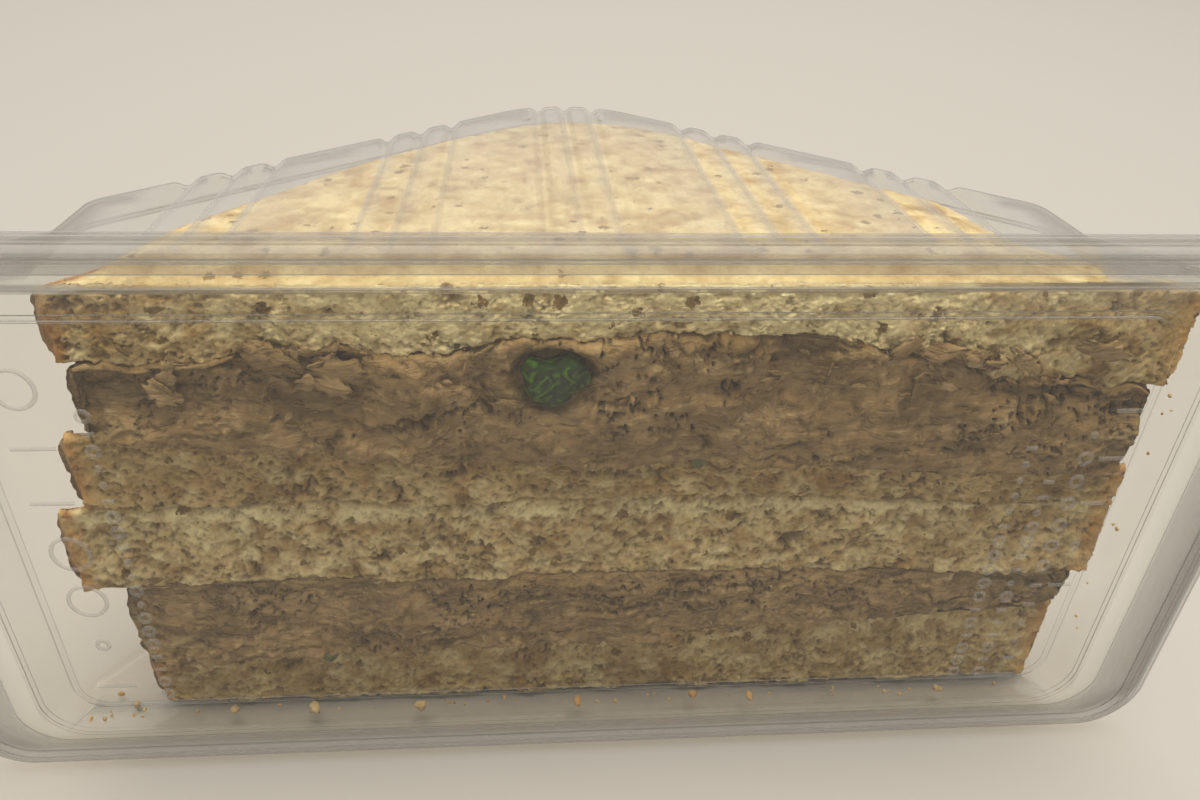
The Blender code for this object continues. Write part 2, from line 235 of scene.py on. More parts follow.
def shingles(points: np.ndarray, seed: int, radius: tuple[float, float]) -> tuple[np.ndarray, np.ndarray]:
    """Tilted plates that lie over one another, one to a cell.

    Args:
        points: an array with the three axes last.
        seed: which set of plates to give.
        radius: the smallest and the largest radius, in cells.
    Returns:
        The height of the topmost plate, from about 0 to 1, and a value from 0 to 1 of its own.
    """
    base = np.floor(points).astype(np.int64)
    height = np.zeros(points.shape[:-1])
    tone = np.full(points.shape[:-1], 0.3)
    for step in product((-1, 0, 1), repeat=3):
        cells = base + np.array(step)
        chance = [cell_values(cells, seed + k) for k in range(8)]
        away = points - cells - np.stack(chance[:3], axis=-1)
        span = np.linalg.norm(away, axis=-1) / (radius[0] + (radius[1] - radius[0]) * chance[3])
        tilt = 0.9 * (chance[4] - 0.5) * away[..., 0] + 0.9 * (chance[5] - 0.2) * away[..., 2]
        lift = (0.35 + 0.5 * chance[6] + tilt) * ease((1.0 - span) * 5.0) - 0.3 * span ** 4
        tone = np.where(lift > height, chance[7], tone)
        height = np.maximum(height, lift)
    return height, tone


def ease(share: np.ndarray) -> np.ndarray:
    """Clip to 0 and 1 and ease both ends."""
    share = np.clip(share, 0.0, 1.0)
    return share * share * (3.0 - 2.0 * share)


def along(x: np.ndarray, pairs: list[tuple[float, float]]) -> np.ndarray:
    """Read a value between x and value pairs, eased so that the line has no kinks.

    Args:
        x: where to read.
        pairs: x and value, in rising order of x.
    Returns:
        One value for each x.
    """
    places, values = (np.array(column, float) for column in zip(*pairs))
    index = np.clip(np.searchsorted(places, x) - 1, 0, len(places) - 2)
    share = ease((x - places[index]) / (places[index + 1] - places[index]))
    return values[index] + (values[index + 1] - values[index]) * share


def fillet(distance: np.ndarray, radius: float) -> np.ndarray:
    """How far a rounded edge falls back, at a distance from the edge.

    Args:
        distance: how far each point is from the edge.
        radius: the radius of the rounding.
    Returns:
        The fall, from the radius at the edge down to 0.
    """
    inside = np.clip(radius - distance, 0.0, radius)
    return radius - np.sqrt(radius ** 2 - inside ** 2)


def smooth_curve(knots: list[tuple[float, float]], shares: np.ndarray) -> np.ndarray:
    """Points on the smooth curve through the knots.

    Args:
        knots: the points that the curve runs through.
        shares: how far along the curve to read, from 0 to 1.
    Returns:
        One point for each share.
    """
    table = np.array(knots, float)
    spot = shares * (len(table) - 1)
    index = np.minimum(spot.astype(int), len(table) - 2)
    t = (spot - index)[:, None]
    p0, p1, p2, p3 = (table[np.clip(index + k, 0, len(table) - 1)] for k in (-1, 0, 1, 2))
    return 0.5 * (2 * p1 + (p2 - p0) * t + (2 * p0 - 5 * p1 + 4 * p2 - p3) * t ** 2
                  + (3 * p1 - p0 - 3 * p2 + p3) * t ** 3)


# The frame that every piece is placed in


@dataclass(frozen=True)
class PackFrame:
    """The pack's own axes, tied to world space by the lid's hinge.

    Attributes:
        hinge_m: the hinge in world space, in metres.
        draft_deg: how far the window leans back.
        hinge_v: the hinge's own v, in millimetres.
        height: the window frame's height, in millimetres.
    """

    hinge_m: tuple[float, float, float]
    draft_deg: float = 5.8
    hinge_v: float = -0.45
    height: float = 88.0

    def matrix(self) -> Matrix:
        """The matrix from the pack's frame in millimetres to world space in metres."""
        turn = Matrix.Rotation(-math.radians(self.draft_deg), 4, "X") @ Matrix.Scale(MM, 4)
        return Matrix.Translation(Vector(self.hinge_m) - turn @ Vector((0.0, self.hinge_v, self.height))) @ turn

    def mesh_object(self, name: str, points: np.ndarray, faces: list) -> bpy.types.Object:
        """Make a smooth shaded mesh object from points in the pack's frame.

        Args:
            name: the object's name.
            points: the points, in millimetres.
            faces: the corners of each face.
        Returns:
            The new object, with its points in world space.
        """
        mesh = bpy.data.meshes.new(name)
        mesh.from_pydata(np.asarray(points, float).tolist(), [], faces)
        mesh.transform(self.matrix())
        mesh.polygons.foreach_set("use_smooth", [True] * len(mesh.polygons))
        mesh.update()
        obj = bpy.data.objects.new(name, mesh)
        bpy.context.scene.collection.objects.link(obj)
        return obj


def add_field(obj: bpy.types.Object, name: str, values: np.ndarray) -> None:
    """Store one number for each point of a mesh, for its material to read.

    Args:
        obj: the mesh object.
        name: what the material calls the numbers.
        values: one number for each point.
    """
    attribute = obj.data.attributes.new(name, "FLOAT", "POINT")
    attribute.data.foreach_set("value", np.asarray(values, np.float32).ravel())


def base_height(frame: PackFrame, v: float) -> float:
    """The base of the pack, with the sloping heel that lifts its front edge to the window frame.

    Args:
        frame: the pack's frame.
        v: how far back from the window.
    Returns:
        The height of the base there.
    """
    return v * math.tan(math.radians(frame.draft_deg)) + HEEL_RISE * max(0.0, 1.0 - v / HEEL_DEPTH)


def grid_faces(count: int, width: int, closed: bool, flip: bool = False) -> list[list[int]]:
    """Quads between the rows of a grid of points, row after row.

    Args:
        count: how many rows the grid has.
        width: how many points each row has.
        closed: whether the last point of a row joins its first.
        flip: whether the quads face the other way.
    Returns:
        The corners of each quad.
    """
    grid = np.arange(count * width).reshape(count, width)
    beside = np.roll(grid, -1, axis=1)
    if not closed:
        grid, beside = grid[:, :-1], beside[:, :-1]
    corners = [grid[:-1], beside[:-1], beside[1:], grid[1:]]
    if flip:
        corners[1:] = reversed(corners[1:])
    return np.stack(corners, axis=-1).reshape(-1, 4).tolist()


@dataclass
class Gathered:
    """Many small shapes gathered into the points and faces of one mesh."""

    blocks: list[np.ndarray] = field(default_factory=list)
    faces: list[list[int]] = field(default_factory=list)
    count: int = 0

    def add(self, points: np.ndarray | list, faces: list) -> None:
        """Add one shape.

        Args:
            points: its points, in millimetres.
            faces: the corners of each of its faces, counted from 0.
        """
        self.faces += [[self.count + corner for corner in face] for face in faces]
        self.blocks.append(np.asarray(points, float))
        self.count += len(points)

    def mesh_object(self, frame: PackFrame, name: str) -> bpy.types.Object:
        """Make the mesh object.

        Args:
            frame: the frame that the points are in.
            name: the object's name.
        Returns:
            The new object.
        """
        return frame.mesh_object(name, np.concatenate(self.blocks), self.faces)

    def spread(self, values: list[float]) -> np.ndarray:
        """One value for each point, from one value for each shape."""
        return np.repeat(values, [len(block) for block in self.blocks])


# Finishes


@dataclass(frozen=True)
class BreadCrumb:
    """Baked wheat bread, torn and cut: a matt, dry, cream-coloured foam with bran flecks and a thin crust.

    The eye sees dull light walls round darker pores, whose darkness is painted shade, orange-brown bran, and a golden
    to brown skin.
    """

    name: str = "baked_wheat_bread"
    light: str = "DDC083"
    shade: str = "AA884C"
    pore: str = "6E4F26"
    # The pale colour is partly crumb pressed smooth and partly painted light
    pressed_and_lit: str = "FDECB4"
    stain: str = "BE9148"
    bran: str = "8E713C"
    crust_pale: str = "E9C07C"
    crust_dark: str = "B8803C"
    scorched: str = "8C5E2C"
    patch_mm: float = 7.0
    stain_mm: float = 3.6
    bran_mm: float = 3.2
    bran_share: float = 0.38
    grain_mm: float = 0.45
    grain_drawn: float = 2.0

    def build(self) -> bpy.types.Material:
        """Build the material; it reads the fields pore, pale and crust from the mesh."""
        material, tree, output = empty_material(self.name)
        place = add_node(tree, "TexCoord").outputs["Object"]
        pore = add_node(tree, "Attribute", attribute_name="pore").outputs["Fac"]
        crust = add_node(tree, "Attribute", attribute_name="crust").outputs["Fac"]
        # Patches a few millimetres wide where the crumb is drier or damper
        patch = add_node(tree, "TexNoise", {"Vector": place, "Scale": per_mm(self.patch_mm), "Detail": 5.0,
                                            "Roughness": 0.6})
        patchy = add_node(tree, "MapRange", {"Value": patch.outputs["Fac"], "From Min": 0.36, "From Max": 0.64})
        # Ochre stains where the crumb took up oil, and a paler skin where it was pressed or torn fresh; on the top
        # slice's cut face and where the crumb stands up, that paler skin is also painted light
        stain = add_node(tree, "TexNoise", {"Vector": place, "Scale": per_mm(self.stain_mm), "Detail": 3.0,
                                            "Distortion": 0.6})
        stained = add_node(tree, "MapRange", {"Value": stain.outputs["Fac"], "From Min": 0.56, "From Max": 0.68,
                                              "To Max": 0.6})
        pale = add_node(tree, "Attribute", attribute_name="pale").outputs["Fac"]
        # Fine grain of the pore walls, drawn twice as coarse as real so that it shows
        grain = add_node(tree, "TexNoise", {"Vector": place, "Scale": per_mm(self.grain_mm * self.grain_drawn),
                                            "Detail": 4.0, "Roughness": 0.7})
        grainy = add_node(tree, "MapRange", {"Value": grain.outputs["Fac"], "From Min": 0.5, "From Max": 0.72,
                                             "To Max": 0.4})
        # Bran: one flat fleck in some of the cells of a 3 mm lattice
        cells = add_node(tree, "TexVoronoi", {"Vector": place, "Scale": per_mm(self.bran_mm),
                                              "Randomness": 1.0})
        wobble = add_node(tree, "MapRange", {"Value": grain.outputs["Fac"], "From Min": 0.3, "From Max": 0.7,
                                             "To Min": -0.2, "To Max": 0.2})
        edge = add_node(tree, "Math", {0: cells.outputs["Distance"], 1: wobble.outputs[0]}, operation="ADD")
        chance = add_node(tree, "SeparateColor", {0: cells.outputs["Color"]})
        size = add_node(tree, "MapRange", {"Value": chance.outputs[1], "To Min": 0.06, "To Max": 0.3})
        fleck = add_node(tree, "Math", {0: edge.outputs[0], 1: size.outputs[0]}, operation="LESS_THAN")
        few = add_node(tree, "Math", {0: chance.outputs[0], 1: 1.0 - self.bran_share}, operation="GREATER_THAN")
        flecks = add_node(tree, "Math", {0: fleck.outputs[0], 1: few.outputs[0]}, operation="MULTIPLY")
        # The crust is browner where it baked hardest
        baked = add_node(tree, "Mix", {0: patchy.outputs[0], 6: srgb(self.crust_pale), 7: srgb(self.crust_dark)},
                         data_type="RGBA")
        scorch = add_node(tree, "MapRange", {"Value": crust, "From Min": 1.0, "From Max": 1.6, "To Max": 0.85})
        # Each colour lies over the ones before it; the pore colour, laid in the holes and hollows, is painted shade
        colour = srgb(self.light)
        for share, over in ((patchy.outputs[0], srgb(self.shade)), (stained.outputs[0], srgb(self.stain)),
                            (pale, srgb(self.pressed_and_lit)), (grainy.outputs[0], srgb(self.shade)),
                            (pore, srgb(self.pore)), (flecks.outputs[0], srgb(self.bran)),
                            (crust, baked.outputs[2]), (scorch.outputs[0], srgb(self.scorched))):
            colour = add_node(tree, "Mix", {0: share, 6: colour, 7: over}, data_type="RGBA").outputs[2]
        bump = add_node(tree, "Bump", {"Height": grain.outputs["Fac"], "Strength": 0.9, "Distance": 0.0005})
        shader = add_node(tree, "BsdfPrincipled", {
            "Base Color": colour, "Roughness": 0.88, "IOR": 1.4, "Specular IOR Level": 0.25,
            "Sheen Weight": 0.15, "Sheen Roughness": 0.6, "Normal": bump.outputs[0]})
        tree.links.new(shader.outputs[0], output.inputs["Surface"])
        return material


@dataclass(frozen=True)
class TunaSalad:
    """Flaked tinned tuna folded with mayonnaise: soft fibres in taupe, with a thin wet film on the ridges.

    The eye sees pinkish-beige flakes, brown-grey hollows between them, painted in as shade, and small soft glints.
    """

    name: str = "flaked_tuna_mayonnaise"
    flake: str = "B39566"
    body: str = "8A7044"
    hollow: str = "45321B"
    pale: str = "CFB485"
    patch_mm: float = 9.0
    swirl_mm: float = 8.0
    swirl_m: float = 0.005
    fibre_mm: float = 0.5
    fibre_drawn: float = 1.7
    fibre_stretch: float = 0.16

    def build(self) -> bpy.types.Material:
        """Build the material; it reads the fields pore and pale from the mesh."""
        material, tree, output = empty_material(self.name)
        place = add_node(tree, "TexCoord").outputs["Object"]
        hollow = add_node(tree, "Attribute", attribute_name="pore").outputs["Fac"]
        # Patches where there is more flake or more dressing
        patch = add_node(tree, "TexNoise", {"Vector": place, "Scale": per_mm(self.patch_mm), "Detail": 4.0,
                                            "Roughness": 0.55})
        patchy = add_node(tree, "MapRange", {"Value": patch.outputs["Fac"], "From Min": 0.38, "From Max": 0.62})
        # Muscle fibres: noise drawn out along the flakes and bent with them. They lie half a millimetre
        # apart, and are drawn 1.7 times as coarse so that they show
        swirl = add_node(tree, "TexNoise", {"Vector": place, "Scale": per_mm(self.swirl_mm), "Detail": 1.0})
        bent = add_node(tree, "VectorMath", {0: swirl.outputs["Color"], 1: (self.swirl_m,) * 3, 2: place},
                        operation="MULTIPLY_ADD")
        stretch = add_node(tree, "Mapping", {"Vector": bent.outputs[0], "Rotation": (0.0, 0.15, 0.0),
                                             "Scale": (self.fibre_stretch, 1.0, 1.0)})
        fibre = add_node(tree, "TexNoise", {
            "Vector": stretch.outputs[0], "Scale": per_mm(self.fibre_mm * self.fibre_drawn), "Detail": 3.0,
            "Roughness": 0.65, "Distortion": 0.5})
        fibres = add_node(tree, "MapRange", {"Value": fibre.outputs["Fac"], "From Min": 0.52,
                                             "From Max": 0.7, "To Max": 0.7})
        pale = add_node(tree, "Attribute", attribute_name="pale").outputs["Fac"]
        # The fibres' crests are painted paler and their troughs darker: painted light and shade on the fibres' relief,
        # added to the flakes' own tone and the hollows' painted shade
        light = add_node(tree, "Math", {0: fibres.outputs[0], 1: pale}, operation="ADD", use_clamp=True)
        troughs = add_node(tree, "MapRange", {"Value": fibre.outputs["Fac"], "From Min": 0.46,
                                              "From Max": 0.3, "To Max": 0.65})
        dark = add_node(tree, "Math", {0: troughs.outputs[0], 1: hollow}, operation="ADD", use_clamp=True)
        # Each colour lies over the ones before it
        colour = srgb(self.body)
        for share, over in ((patchy, self.flake), (light, self.pale), (dark, self.hollow)):
            colour = add_node(tree, "Mix", {0: share.outputs[0], 6: colour, 7: srgb(over)},
                              data_type="RGBA").outputs[2]
        # The oil film is patchy, so the gloss is too
        gloss = add_node(tree, "MapRange", {"Value": patch.outputs["Fac"], "From Min": 0.4, "From Max": 0.6,
                                            "To Min": 0.38, "To Max": 0.62})
        bump = add_node(tree, "Bump", {"Height": fibre.outputs["Fac"], "Strength": 0.9, "Distance": 0.0006})
        shader = add_node(tree, "BsdfPrincipled", {
            "Base Color": colour, "Roughness": gloss.outputs[0], "IOR": 1.42,
            "Specular IOR Level": 0.4, "Normal": bump.outputs[0]})
        tree.links.new(shader.outputs[0], output.inputs["Surface"])
        return material


@dataclass(frozen=True)
class GreenPepper:
    """A cut piece of raw green pepper: wet skin over watery flesh, dark green with lighter veins."""

    name: str = "raw_green_pepper"
    deep: str = "142E04"
    light: str = "5A8C0C"
    vein_mm: float = 2.2

    def build(self) -> bpy.types.Material:
        """Build the material."""
        material, tree, output = empty_material(self.name)
        place = add_node(tree, "TexCoord").outputs["Object"]
        vein = add_node(tree, "TexNoise", {"Vector": place, "Scale": per_mm(self.vein_mm), "Detail": 3.0,
                                           "Distortion": 1.5})
        veins = add_node(tree, "MapRange", {"Value": vein.outputs["Fac"], "From Min": 0.5, "From Max": 0.7})
        colour = add_node(tree, "Mix", {0: veins.outputs[0], 6: srgb(self.deep), 7: srgb(self.light)},
                          data_type="RGBA")
        bump = add_node(tree, "Bump", {"Height": vein.outputs["Fac"], "Strength": 0.5, "Distance": 0.0004})
        shader = add_node(tree, "BsdfPrincipled", {
            "Base Color": colour.outputs[2], "Roughness": 0.3, "IOR": 1.36,
            "Coat Weight": 0.1, "Coat Roughness": 0.15, "Normal": bump.outputs[0]})
        tree.links.new(shader.outputs[0], output.inputs["Surface"])
        return material


@dataclass(frozen=True)
class FormedClearSheet:
    """Clear plastic sheet, vacuum formed: colourless and glossy, a little duller where it was drawn deep.

    The eye sees straight through it, a grey line wherever it turns away, painted in as shade, sharp glints on its
    ridges and a light veil. Each side of the sheet reflects about 3.5% head on and more and more at a slant.
    """

    name: str = "vacuum_formed_clear_sheet"
    tint: str = "FEFEFD"
    edge_grey: str = "B2AFAA"
    head_on: float = 0.035
    veil: float = 0.005
    turned_veil: float = 0.42
    veil_power: float = 5.5
    shadow: str = "FAF9F7"
    roughness: float = 0.09
    haze_dulls: float = 1.6

    def build(self) -> bpy.types.Material:
        """Build the material."""
        material, tree, output = empty_material(self.name)
        slant = add_node(tree, "LayerWeight", {"Blend": 0.5}).outputs["Facing"]
        fifth = add_node(tree, "Math", {0: slant, 1: 5.0}, operation="POWER")
        reflect = add_node(tree, "MapRange", {"Value": fifth.outputs[0], "To Min": self.head_on})
        through = add_node(tree, "BsdfTransparent", {"Color": srgb(self.tint)})
        # The pressed flange and the raised marks are hazier and duller than the drawn walls
        haze = add_node(tree, "Attribute", attribute_name="haze").outputs["Fac"]
        dull = add_node(tree, "Math", {0: haze, 1: self.haze_dulls, 2: self.roughness}, operation="MULTIPLY_ADD")
        gloss = add_node(tree, "BsdfGlossy", {"Color": srgb("FFFFFF"), "Roughness": dull.outputs[0]})
        clear = add_node(tree, "MixShader", {0: reflect.outputs[0], 1: through.outputs[0], 2: gloss.outputs[0]})
        # Seen at a slant the sheet is painted grey: painted shade for the light that the turned sheet bends away
        steep = add_node(tree, "Math", {0: slant, 1: self.veil_power}, operation="POWER")
        greyed = add_node(tree, "MapRange", {"Value": steep.outputs[0], "To Min": self.veil,
                                             "To Max": self.turned_veil})
        grey = add_node(tree, "BsdfDiffuse", {"Color": srgb(self.edge_grey)})
        milky = add_node(tree, "Math", {0: greyed.outputs[0], 1: haze}, operation="ADD", use_clamp=True)
        sheet = add_node(tree, "MixShader", {0: milky.outputs[0], 1: clear.outputs[0], 2: grey.outputs[0]})
        # Its shadow is faint, for what the sheet turns aside still reaches the table
        ray = add_node(tree, "LightPath").outputs["Is Shadow Ray"]
        cast = add_node(tree, "BsdfTransparent", {"Color": srgb(self.shadow)})
        whole = add_node(tree, "MixShader", {0: ray, 1: sheet.outputs[0], 2: cast.outputs[0]})
        tree.links.new(whole.outputs[0], output.inputs["Surface"])
        return material


@dataclass(frozen=True)
class PaleFloor:
    """A plain pale matt table top."""

    name: str = "painted_matt_board"
    colour: str = "BAB6AF"
    grain_mm: float = 2.0

    def build(self) -> bpy.types.Material:
        """Build the material."""
        material, tree, output = empty_material(self.name)
        place = add_node(tree, "TexCoord").outputs["Object"]
        grain = add_node(tree, "TexNoise", {"Vector": place, "Scale": per_mm(self.grain_mm), "Detail": 2.0})
        bump = add_node(tree, "Bump", {"Height": grain.outputs["Fac"], "Strength": 0.1, "Distance": 0.0002})
        shader = add_node(tree, "BsdfPrincipled", {"Base Color": srgb(self.colour), "Roughness": 0.75,
                                                   "Normal": bump.outputs[0]})
        tree.links.new(shader.outputs[0], output.inputs["Surface"])
        return material


# The food


class Filling(Enum):
    """What a layer of the stack is made of."""

    BREAD = "bread"
    TUNA = "tuna_salad"


class Side(IntEnum):
    """The four sides of a layer, in the order in which a ring of points runs over them."""

    CUT = 0
    TOP = 1
    CRUST = 2
    UNDER = 3


@dataclass
class Layer:
    """One layer of the stack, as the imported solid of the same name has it.

    Attributes:
        node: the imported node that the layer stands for.
        filling: what it is made of.
        level: which gap of the stack it lies on, counted up from the floor.
        left: where its cut face starts, in millimetres.
        right: where its cut face ends.
        front: how far its cut face lies behind the window frame.
        reach: how much of the way to the crust line it goes.
        seed: which noise it takes.
        recess: how far its cut face falls back, as x and depth pairs.
        recess_above: the height from which it falls back, in millimetres.
        pale: how pale its cut face is, as x and share pairs.
        hole: x, w and size of one torn hole in its cut face.
        streak: w of a pale pressed streak along it, and how strong that is.
    """

    node: str
    filling: Filling
    level: int
    left: float
    right: float
    front: float
    reach: float = 1.0
    seed: int = 1
    recess: tuple = ((-80, 0.0), (80, 0.0))
    recess_above: float = 0.0
    pale: tuple = ((-80, 0.2), (80, 0.2))
    hole: tuple[float, float, float] = (0.0, 0.0, 0.0)
    streak: tuple[float, float] = (0.0, 0.0)


@dataclass
class Stack:
    """The two halves, one on the other: where every layer begins and ends, in millimetres.

    Attributes:
        frame: the pack's frame.
        shoulder: the height of the tray's top end face, under its raised panel.
        clearance: how far the food stays under it.
        panel: half width, ramp and rise of the room under the raised panel.
        cut_left: where the left tip of the cut face is.
        cut_right: where its right tip is.
        cut_face: how far the cut face lies behind the window frame.
        inner_share: how much of the filling is in the lower half, away from the cut.
        inner: the thickness of each slice away from the cut.
        cut: the thickness of each slice at the cut, as x and thickness pairs.
        lower_share: how much of the filling is in the lower half at the cut, as x and share pairs.
        crust: the line of the crust seen from above, as x and v pairs.
    """

    frame: PackFrame
    shoulder: float = 80.0
    clearance: float = 0.9
    panel: tuple[float, float, float] = (62.0, 12.0, 3.1)
    cut_left: float = -64.5
    cut_right: float = 79.0
    cut_face: float = 5.0
    inner_share: float = 0.45
    inner: dict[str, float] = field(default_factory=lambda: {"4": 12.5, "3": 13.0, "2": 12.0, "1": 13.0})
    cut: dict[str, list[tuple[float, float]]] = field(default_factory=lambda: {
        "4": [(-66, 12.0), (0, 13.5), (40, 17.0), (80, 19.5)],
        "3": [(-70, 15.0), (80, 14.5)],
        "2": [(-66, 12.5), (-36, 10.0), (0, 7.4), (40, 6.4), (80, 6.5)],
        "1": [(-64, 10.5), (-48, 10.8), (-35, 8.4), (-23, 9.8), (-6, 7.4), (14, 6.6), (33, 7.6),
              (46, 10.6), (58, 14.3), (80, 16.0)]})
    lower_share: tuple = ((-66, 0.59), (0, 0.44), (42, 0.37), (80, 0.35))
    crust: tuple = ((-65.2, 6.5), (-60, 12), (-50, 22), (-40, 36.5), (-31, 49), (-20, 61), (-9, 70.5),
                    (2, 74.5), (13, 71.0), (24, 60.5), (35, 49), (47, 36), (58, 24.5), (70, 13.5), (79.3, 6.5))

    def slope(self, v: np.ndarray) -> np.ndarray:
        """How much the base has risen, and the top fallen, at a depth."""
        return v * math.tan(math.radians(self.frame.draft_deg))

    def top(self, x: np.ndarray, v: np.ndarray) -> np.ndarray:
        """The upper face of the top slice."""
        half, ramp, rise = self.panel
        under = ease((half - np.abs(x)) / ramp) * ease((v - self.cut_face) / 8.0)
        return self.shoulder - self.slope(v) - self.clearance + rise * under

    def boundary(self, level: int, x: np.ndarray, v: np.ndarray) -> np.ndarray:
        """The height of the boundary under a level.

        Args:
            level: 0 for the floor, up to 6 for the top.
            x: places along the window.
            v: places back from it.
        Returns:
            One height for each place.
        """
        bottom = self.slope(v) + self.clearance - 0.3
        inward = ease((v - self.cut_face - 1.0) / np.maximum(10.0, 83.0 - np.abs(x - 3.0) - self.cut_face))
        slices = {k: along(x, p) * (1.0 - inward) + self.inner[k] * inward for k, p in self.cut.items()}
        filling = self.top(x, v) - bottom - sum(slices.values())
        lower = along(x, list(self.lower_share)) * (1.0 - inward) + self.inner_share * inward
        steps = [slices["4"], filling * lower, slices["3"], slices["2"], filling * (1.0 - lower), slices["1"]]
        return bottom + sum(steps[:level])

    def plan(self, layer: Layer, a: np.ndarray) -> tuple[np.ndarray, np.ndarray]:
        """A layer seen from above.

        Args:
            layer: the layer.
            a: shares of the way from its left tip to its right one.
        Returns:
            The points on its cut edge and on its crust edge.
        """
        crust = smooth_curve(list(self.crust), a)
        cut = np.stack([self.cut_left + (self.cut_right - self.cut_left) * a,
                        np.full_like(a, self.cut_face)], axis=1)
        stretch = (layer.right - layer.left) / (self.cut_right - self.cut_left)
        for points in (crust, cut):
            points[:, 0] = layer.left + (points[:, 0] - self.cut_left) * stretch
            points[:, 1] += layer.front - self.cut_face
        return cut, cut + (crust - cut) * layer.reach


@dataclass(frozen=True)
class PepperPiece:
    """The green piece pressed against the window, a shield-shaped chip with rounded edges."""

    frame: PackFrame
    centre: tuple[float, float, float] = (-4.3, 4.6, 65.6)
    half_size: tuple[float, float] = (4.3, 3.5)
    outline: tuple = ((-4.3, 1.2), (-3.1, 3.2), (-0.6, 3.0), (1.6, 3.5), (3.6, 3.0), (4.2, 0.6), (2.8, -1.9),
                      (0.4, -3.7), (-1.6, -3.1), (-3.4, -1.6))
    depth: float = 1.7
    warp: float = 0.55
    size: float = 1.0
    name: str = "green_pepper_chip"
    finish: GreenPepper = GreenPepper()

    def reach(self, points: np.ndarray) -> np.ndarray:
        """How far points are from the middle of the piece, where 1 is its edge."""
        return np.hypot((points[..., 0] - self.centre[0]) / self.half_size[0],
                        (points[..., 2] - self.centre[2]) / self.half_size[1])

    def build(self) -> bpy.types.Object:
        """Build the chip from rings that shrink towards its middle, front and back."""
        corners = np.array(self.outline)
        loop = smooth_curve([*corners, *corners[:1]], np.linspace(0.0, 1.0, 73)[:-1])
        rings = []
        for angle in np.linspace(-0.48 * math.pi, 0.48 * math.pi, 27):
            size = abs(math.cos(angle)) ** 0.42
            v = self.depth * math.copysign(abs(math.sin(angle)) ** 0.75, math.sin(angle))
            rings.append(np.stack([loop[:, 0] * size, np.full(len(loop), v), loop[:, 1] * size], axis=1))
        points = np.array(rings) * self.size
        warps = np.stack([layered_noise(points * 0.45, 900 + k, 3) for k in range(3)], axis=-1)
        points += self.warp * self.size * warps
        points += np.array(self.centre)
        points[..., 1] = np.maximum(points[..., 1], PANE_BACK_V)
        count, width = points.shape[:2]
        caps = [list(reversed(range(width))), list(range((count - 1) * width, count * width))]
        obj = self.frame.mesh_object(self.name, points.reshape(-1, 3), grid_faces(count, width, True) + caps)
        obj.data.materials.append(self.finish.build())
        return obj


@dataclass(frozen=True)
class LooseFlakes:
    """Flakes that stand out of the cut filling, each a bent, frayed slip of fibres.

    Attributes:
        frame: the frame that they are placed in.
        seed: which random draw they take.
        upper: how many lie in the upper filling.
        lower: how many lie in the lower one.
        grid: how many points each flake has along it and across it.
        sheet_mm: how thick a flake is.
        span: the least and the greatest x of a flake.
        front_upper: the least and the greatest v of a flake in the upper filling.
        front_lower: the same in the lower one.
        free: x, w, half width and half height of the place kept free for the green piece.
    """

    frame: PackFrame
    seed: int = 12
    upper: int = 110
    lower: int = 40
    grid: tuple[int, int] = (10, 7)
    sheet_mm: float = 0.28
    span: tuple[float, float] = (-58.0, 72.0)
    front_upper: tuple[float, float] = (3.3, 4.5)
    front_lower: tuple[float, float] = (5.4, 6.5)
    free: tuple[float, float, float, float] = (-4.3, 65.6, 6.5, 5.0)

    def build(self) -> bpy.types.Object:
        """Build all the flakes as one mesh."""
        rng = np.random.default_rng(self.seed)
        count, width = self.grid
        cells = np.arange(count * width).reshape(self.grid)
        rim = [*cells[:, 0], *cells[-1, 1:], *cells[-2::-1, -1], *cells[0, -2:0:-1]]
        faces = []
        for quad in grid_faces(count, width, False, flip=True):
            faces += [quad, [count * width + corner for corner in reversed(quad)]]
        faces += [[b, a, a + count * width, b + count * width] for a, b in zip(rim, rim[1:] + rim[:1])]
        flakes, hollows = Gathered(), []
        for number in range(self.upper + self.lower):
            high = number < self.upper
            large = number % 9 == 0 and high
            length = rng.uniform(4.0, 7.0) if large else rng.uniform(1.2, 3.6)
            breadth = length * (rng.uniform(0.4, 0.6) if large else rng.uniform(0.14, 0.34))
            ahead, across = np.meshgrid(*(np.linspace(-0.5, 0.5, n) for n in self.grid), indexing="ij")
            taper = np.clip(1.0 - rng.uniform(0.4, 1.0) * (2.0 * np.abs(ahead)) ** 4, 0.15, 1.0)
            taper = taper * rng.uniform(0.6, 1.3, (count, 1))
            fray = rng.normal(0.0, 0.1, self.grid) * length * (np.abs(ahead) > 0.3)
            flat = np.stack([ahead * length + fray, across * breadth * taper,
                             0.06 * length * np.cos(ahead * 2.6) + 0.05 * rng.normal(size=self.grid)
                             - 0.5 * breadth * across ** 2 + 0.07 * np.cos(across * 22.0)], axis=-1)
            turn = (Matrix.Rotation(rng.normal(0.15, 0.75), 3, "Y") @ Matrix.Rotation(rng.normal(0.0, 0.22), 3, "Z")
                    @ Matrix.Rotation(1.45 + rng.normal(0.0, 0.35), 3, "X"))
            x = rng.uniform(*self.span)
            w = rng.uniform(0.0, 1.0) ** (0.2 if large else 0.5) * 15.5 + 55.0 if high else rng.uniform(17.0, 29.0)
            if high and math.hypot((x - self.free[0]) / self.free[2], (w - self.free[1]) / self.free[3]) < 1.0:
                continue
            place = np.array([x, rng.uniform(*(self.front_upper if high else self.front_lower)), w])
            front = flat @ np.array(turn).T + place
            back = (flat + np.array([0.0, 0.0, -self.sheet_mm])) @ np.array(turn).T + place
            block = np.concatenate([front.reshape(-1, 3), back.reshape(-1, 3)])
            block[:, 1] = np.maximum(block[:, 1], PANE_BACK_V)
            flakes.add(block, faces)
            hollows.append(rng.uniform(0.0, 0.35))
        obj = flakes.mesh_object(self.frame, "tuna_flakes_loose")
        add_field(obj, "pore", flakes.spread(hollows))
        add_field(obj, "pale", 0.35 - flakes.spread(hollows))
        return obj


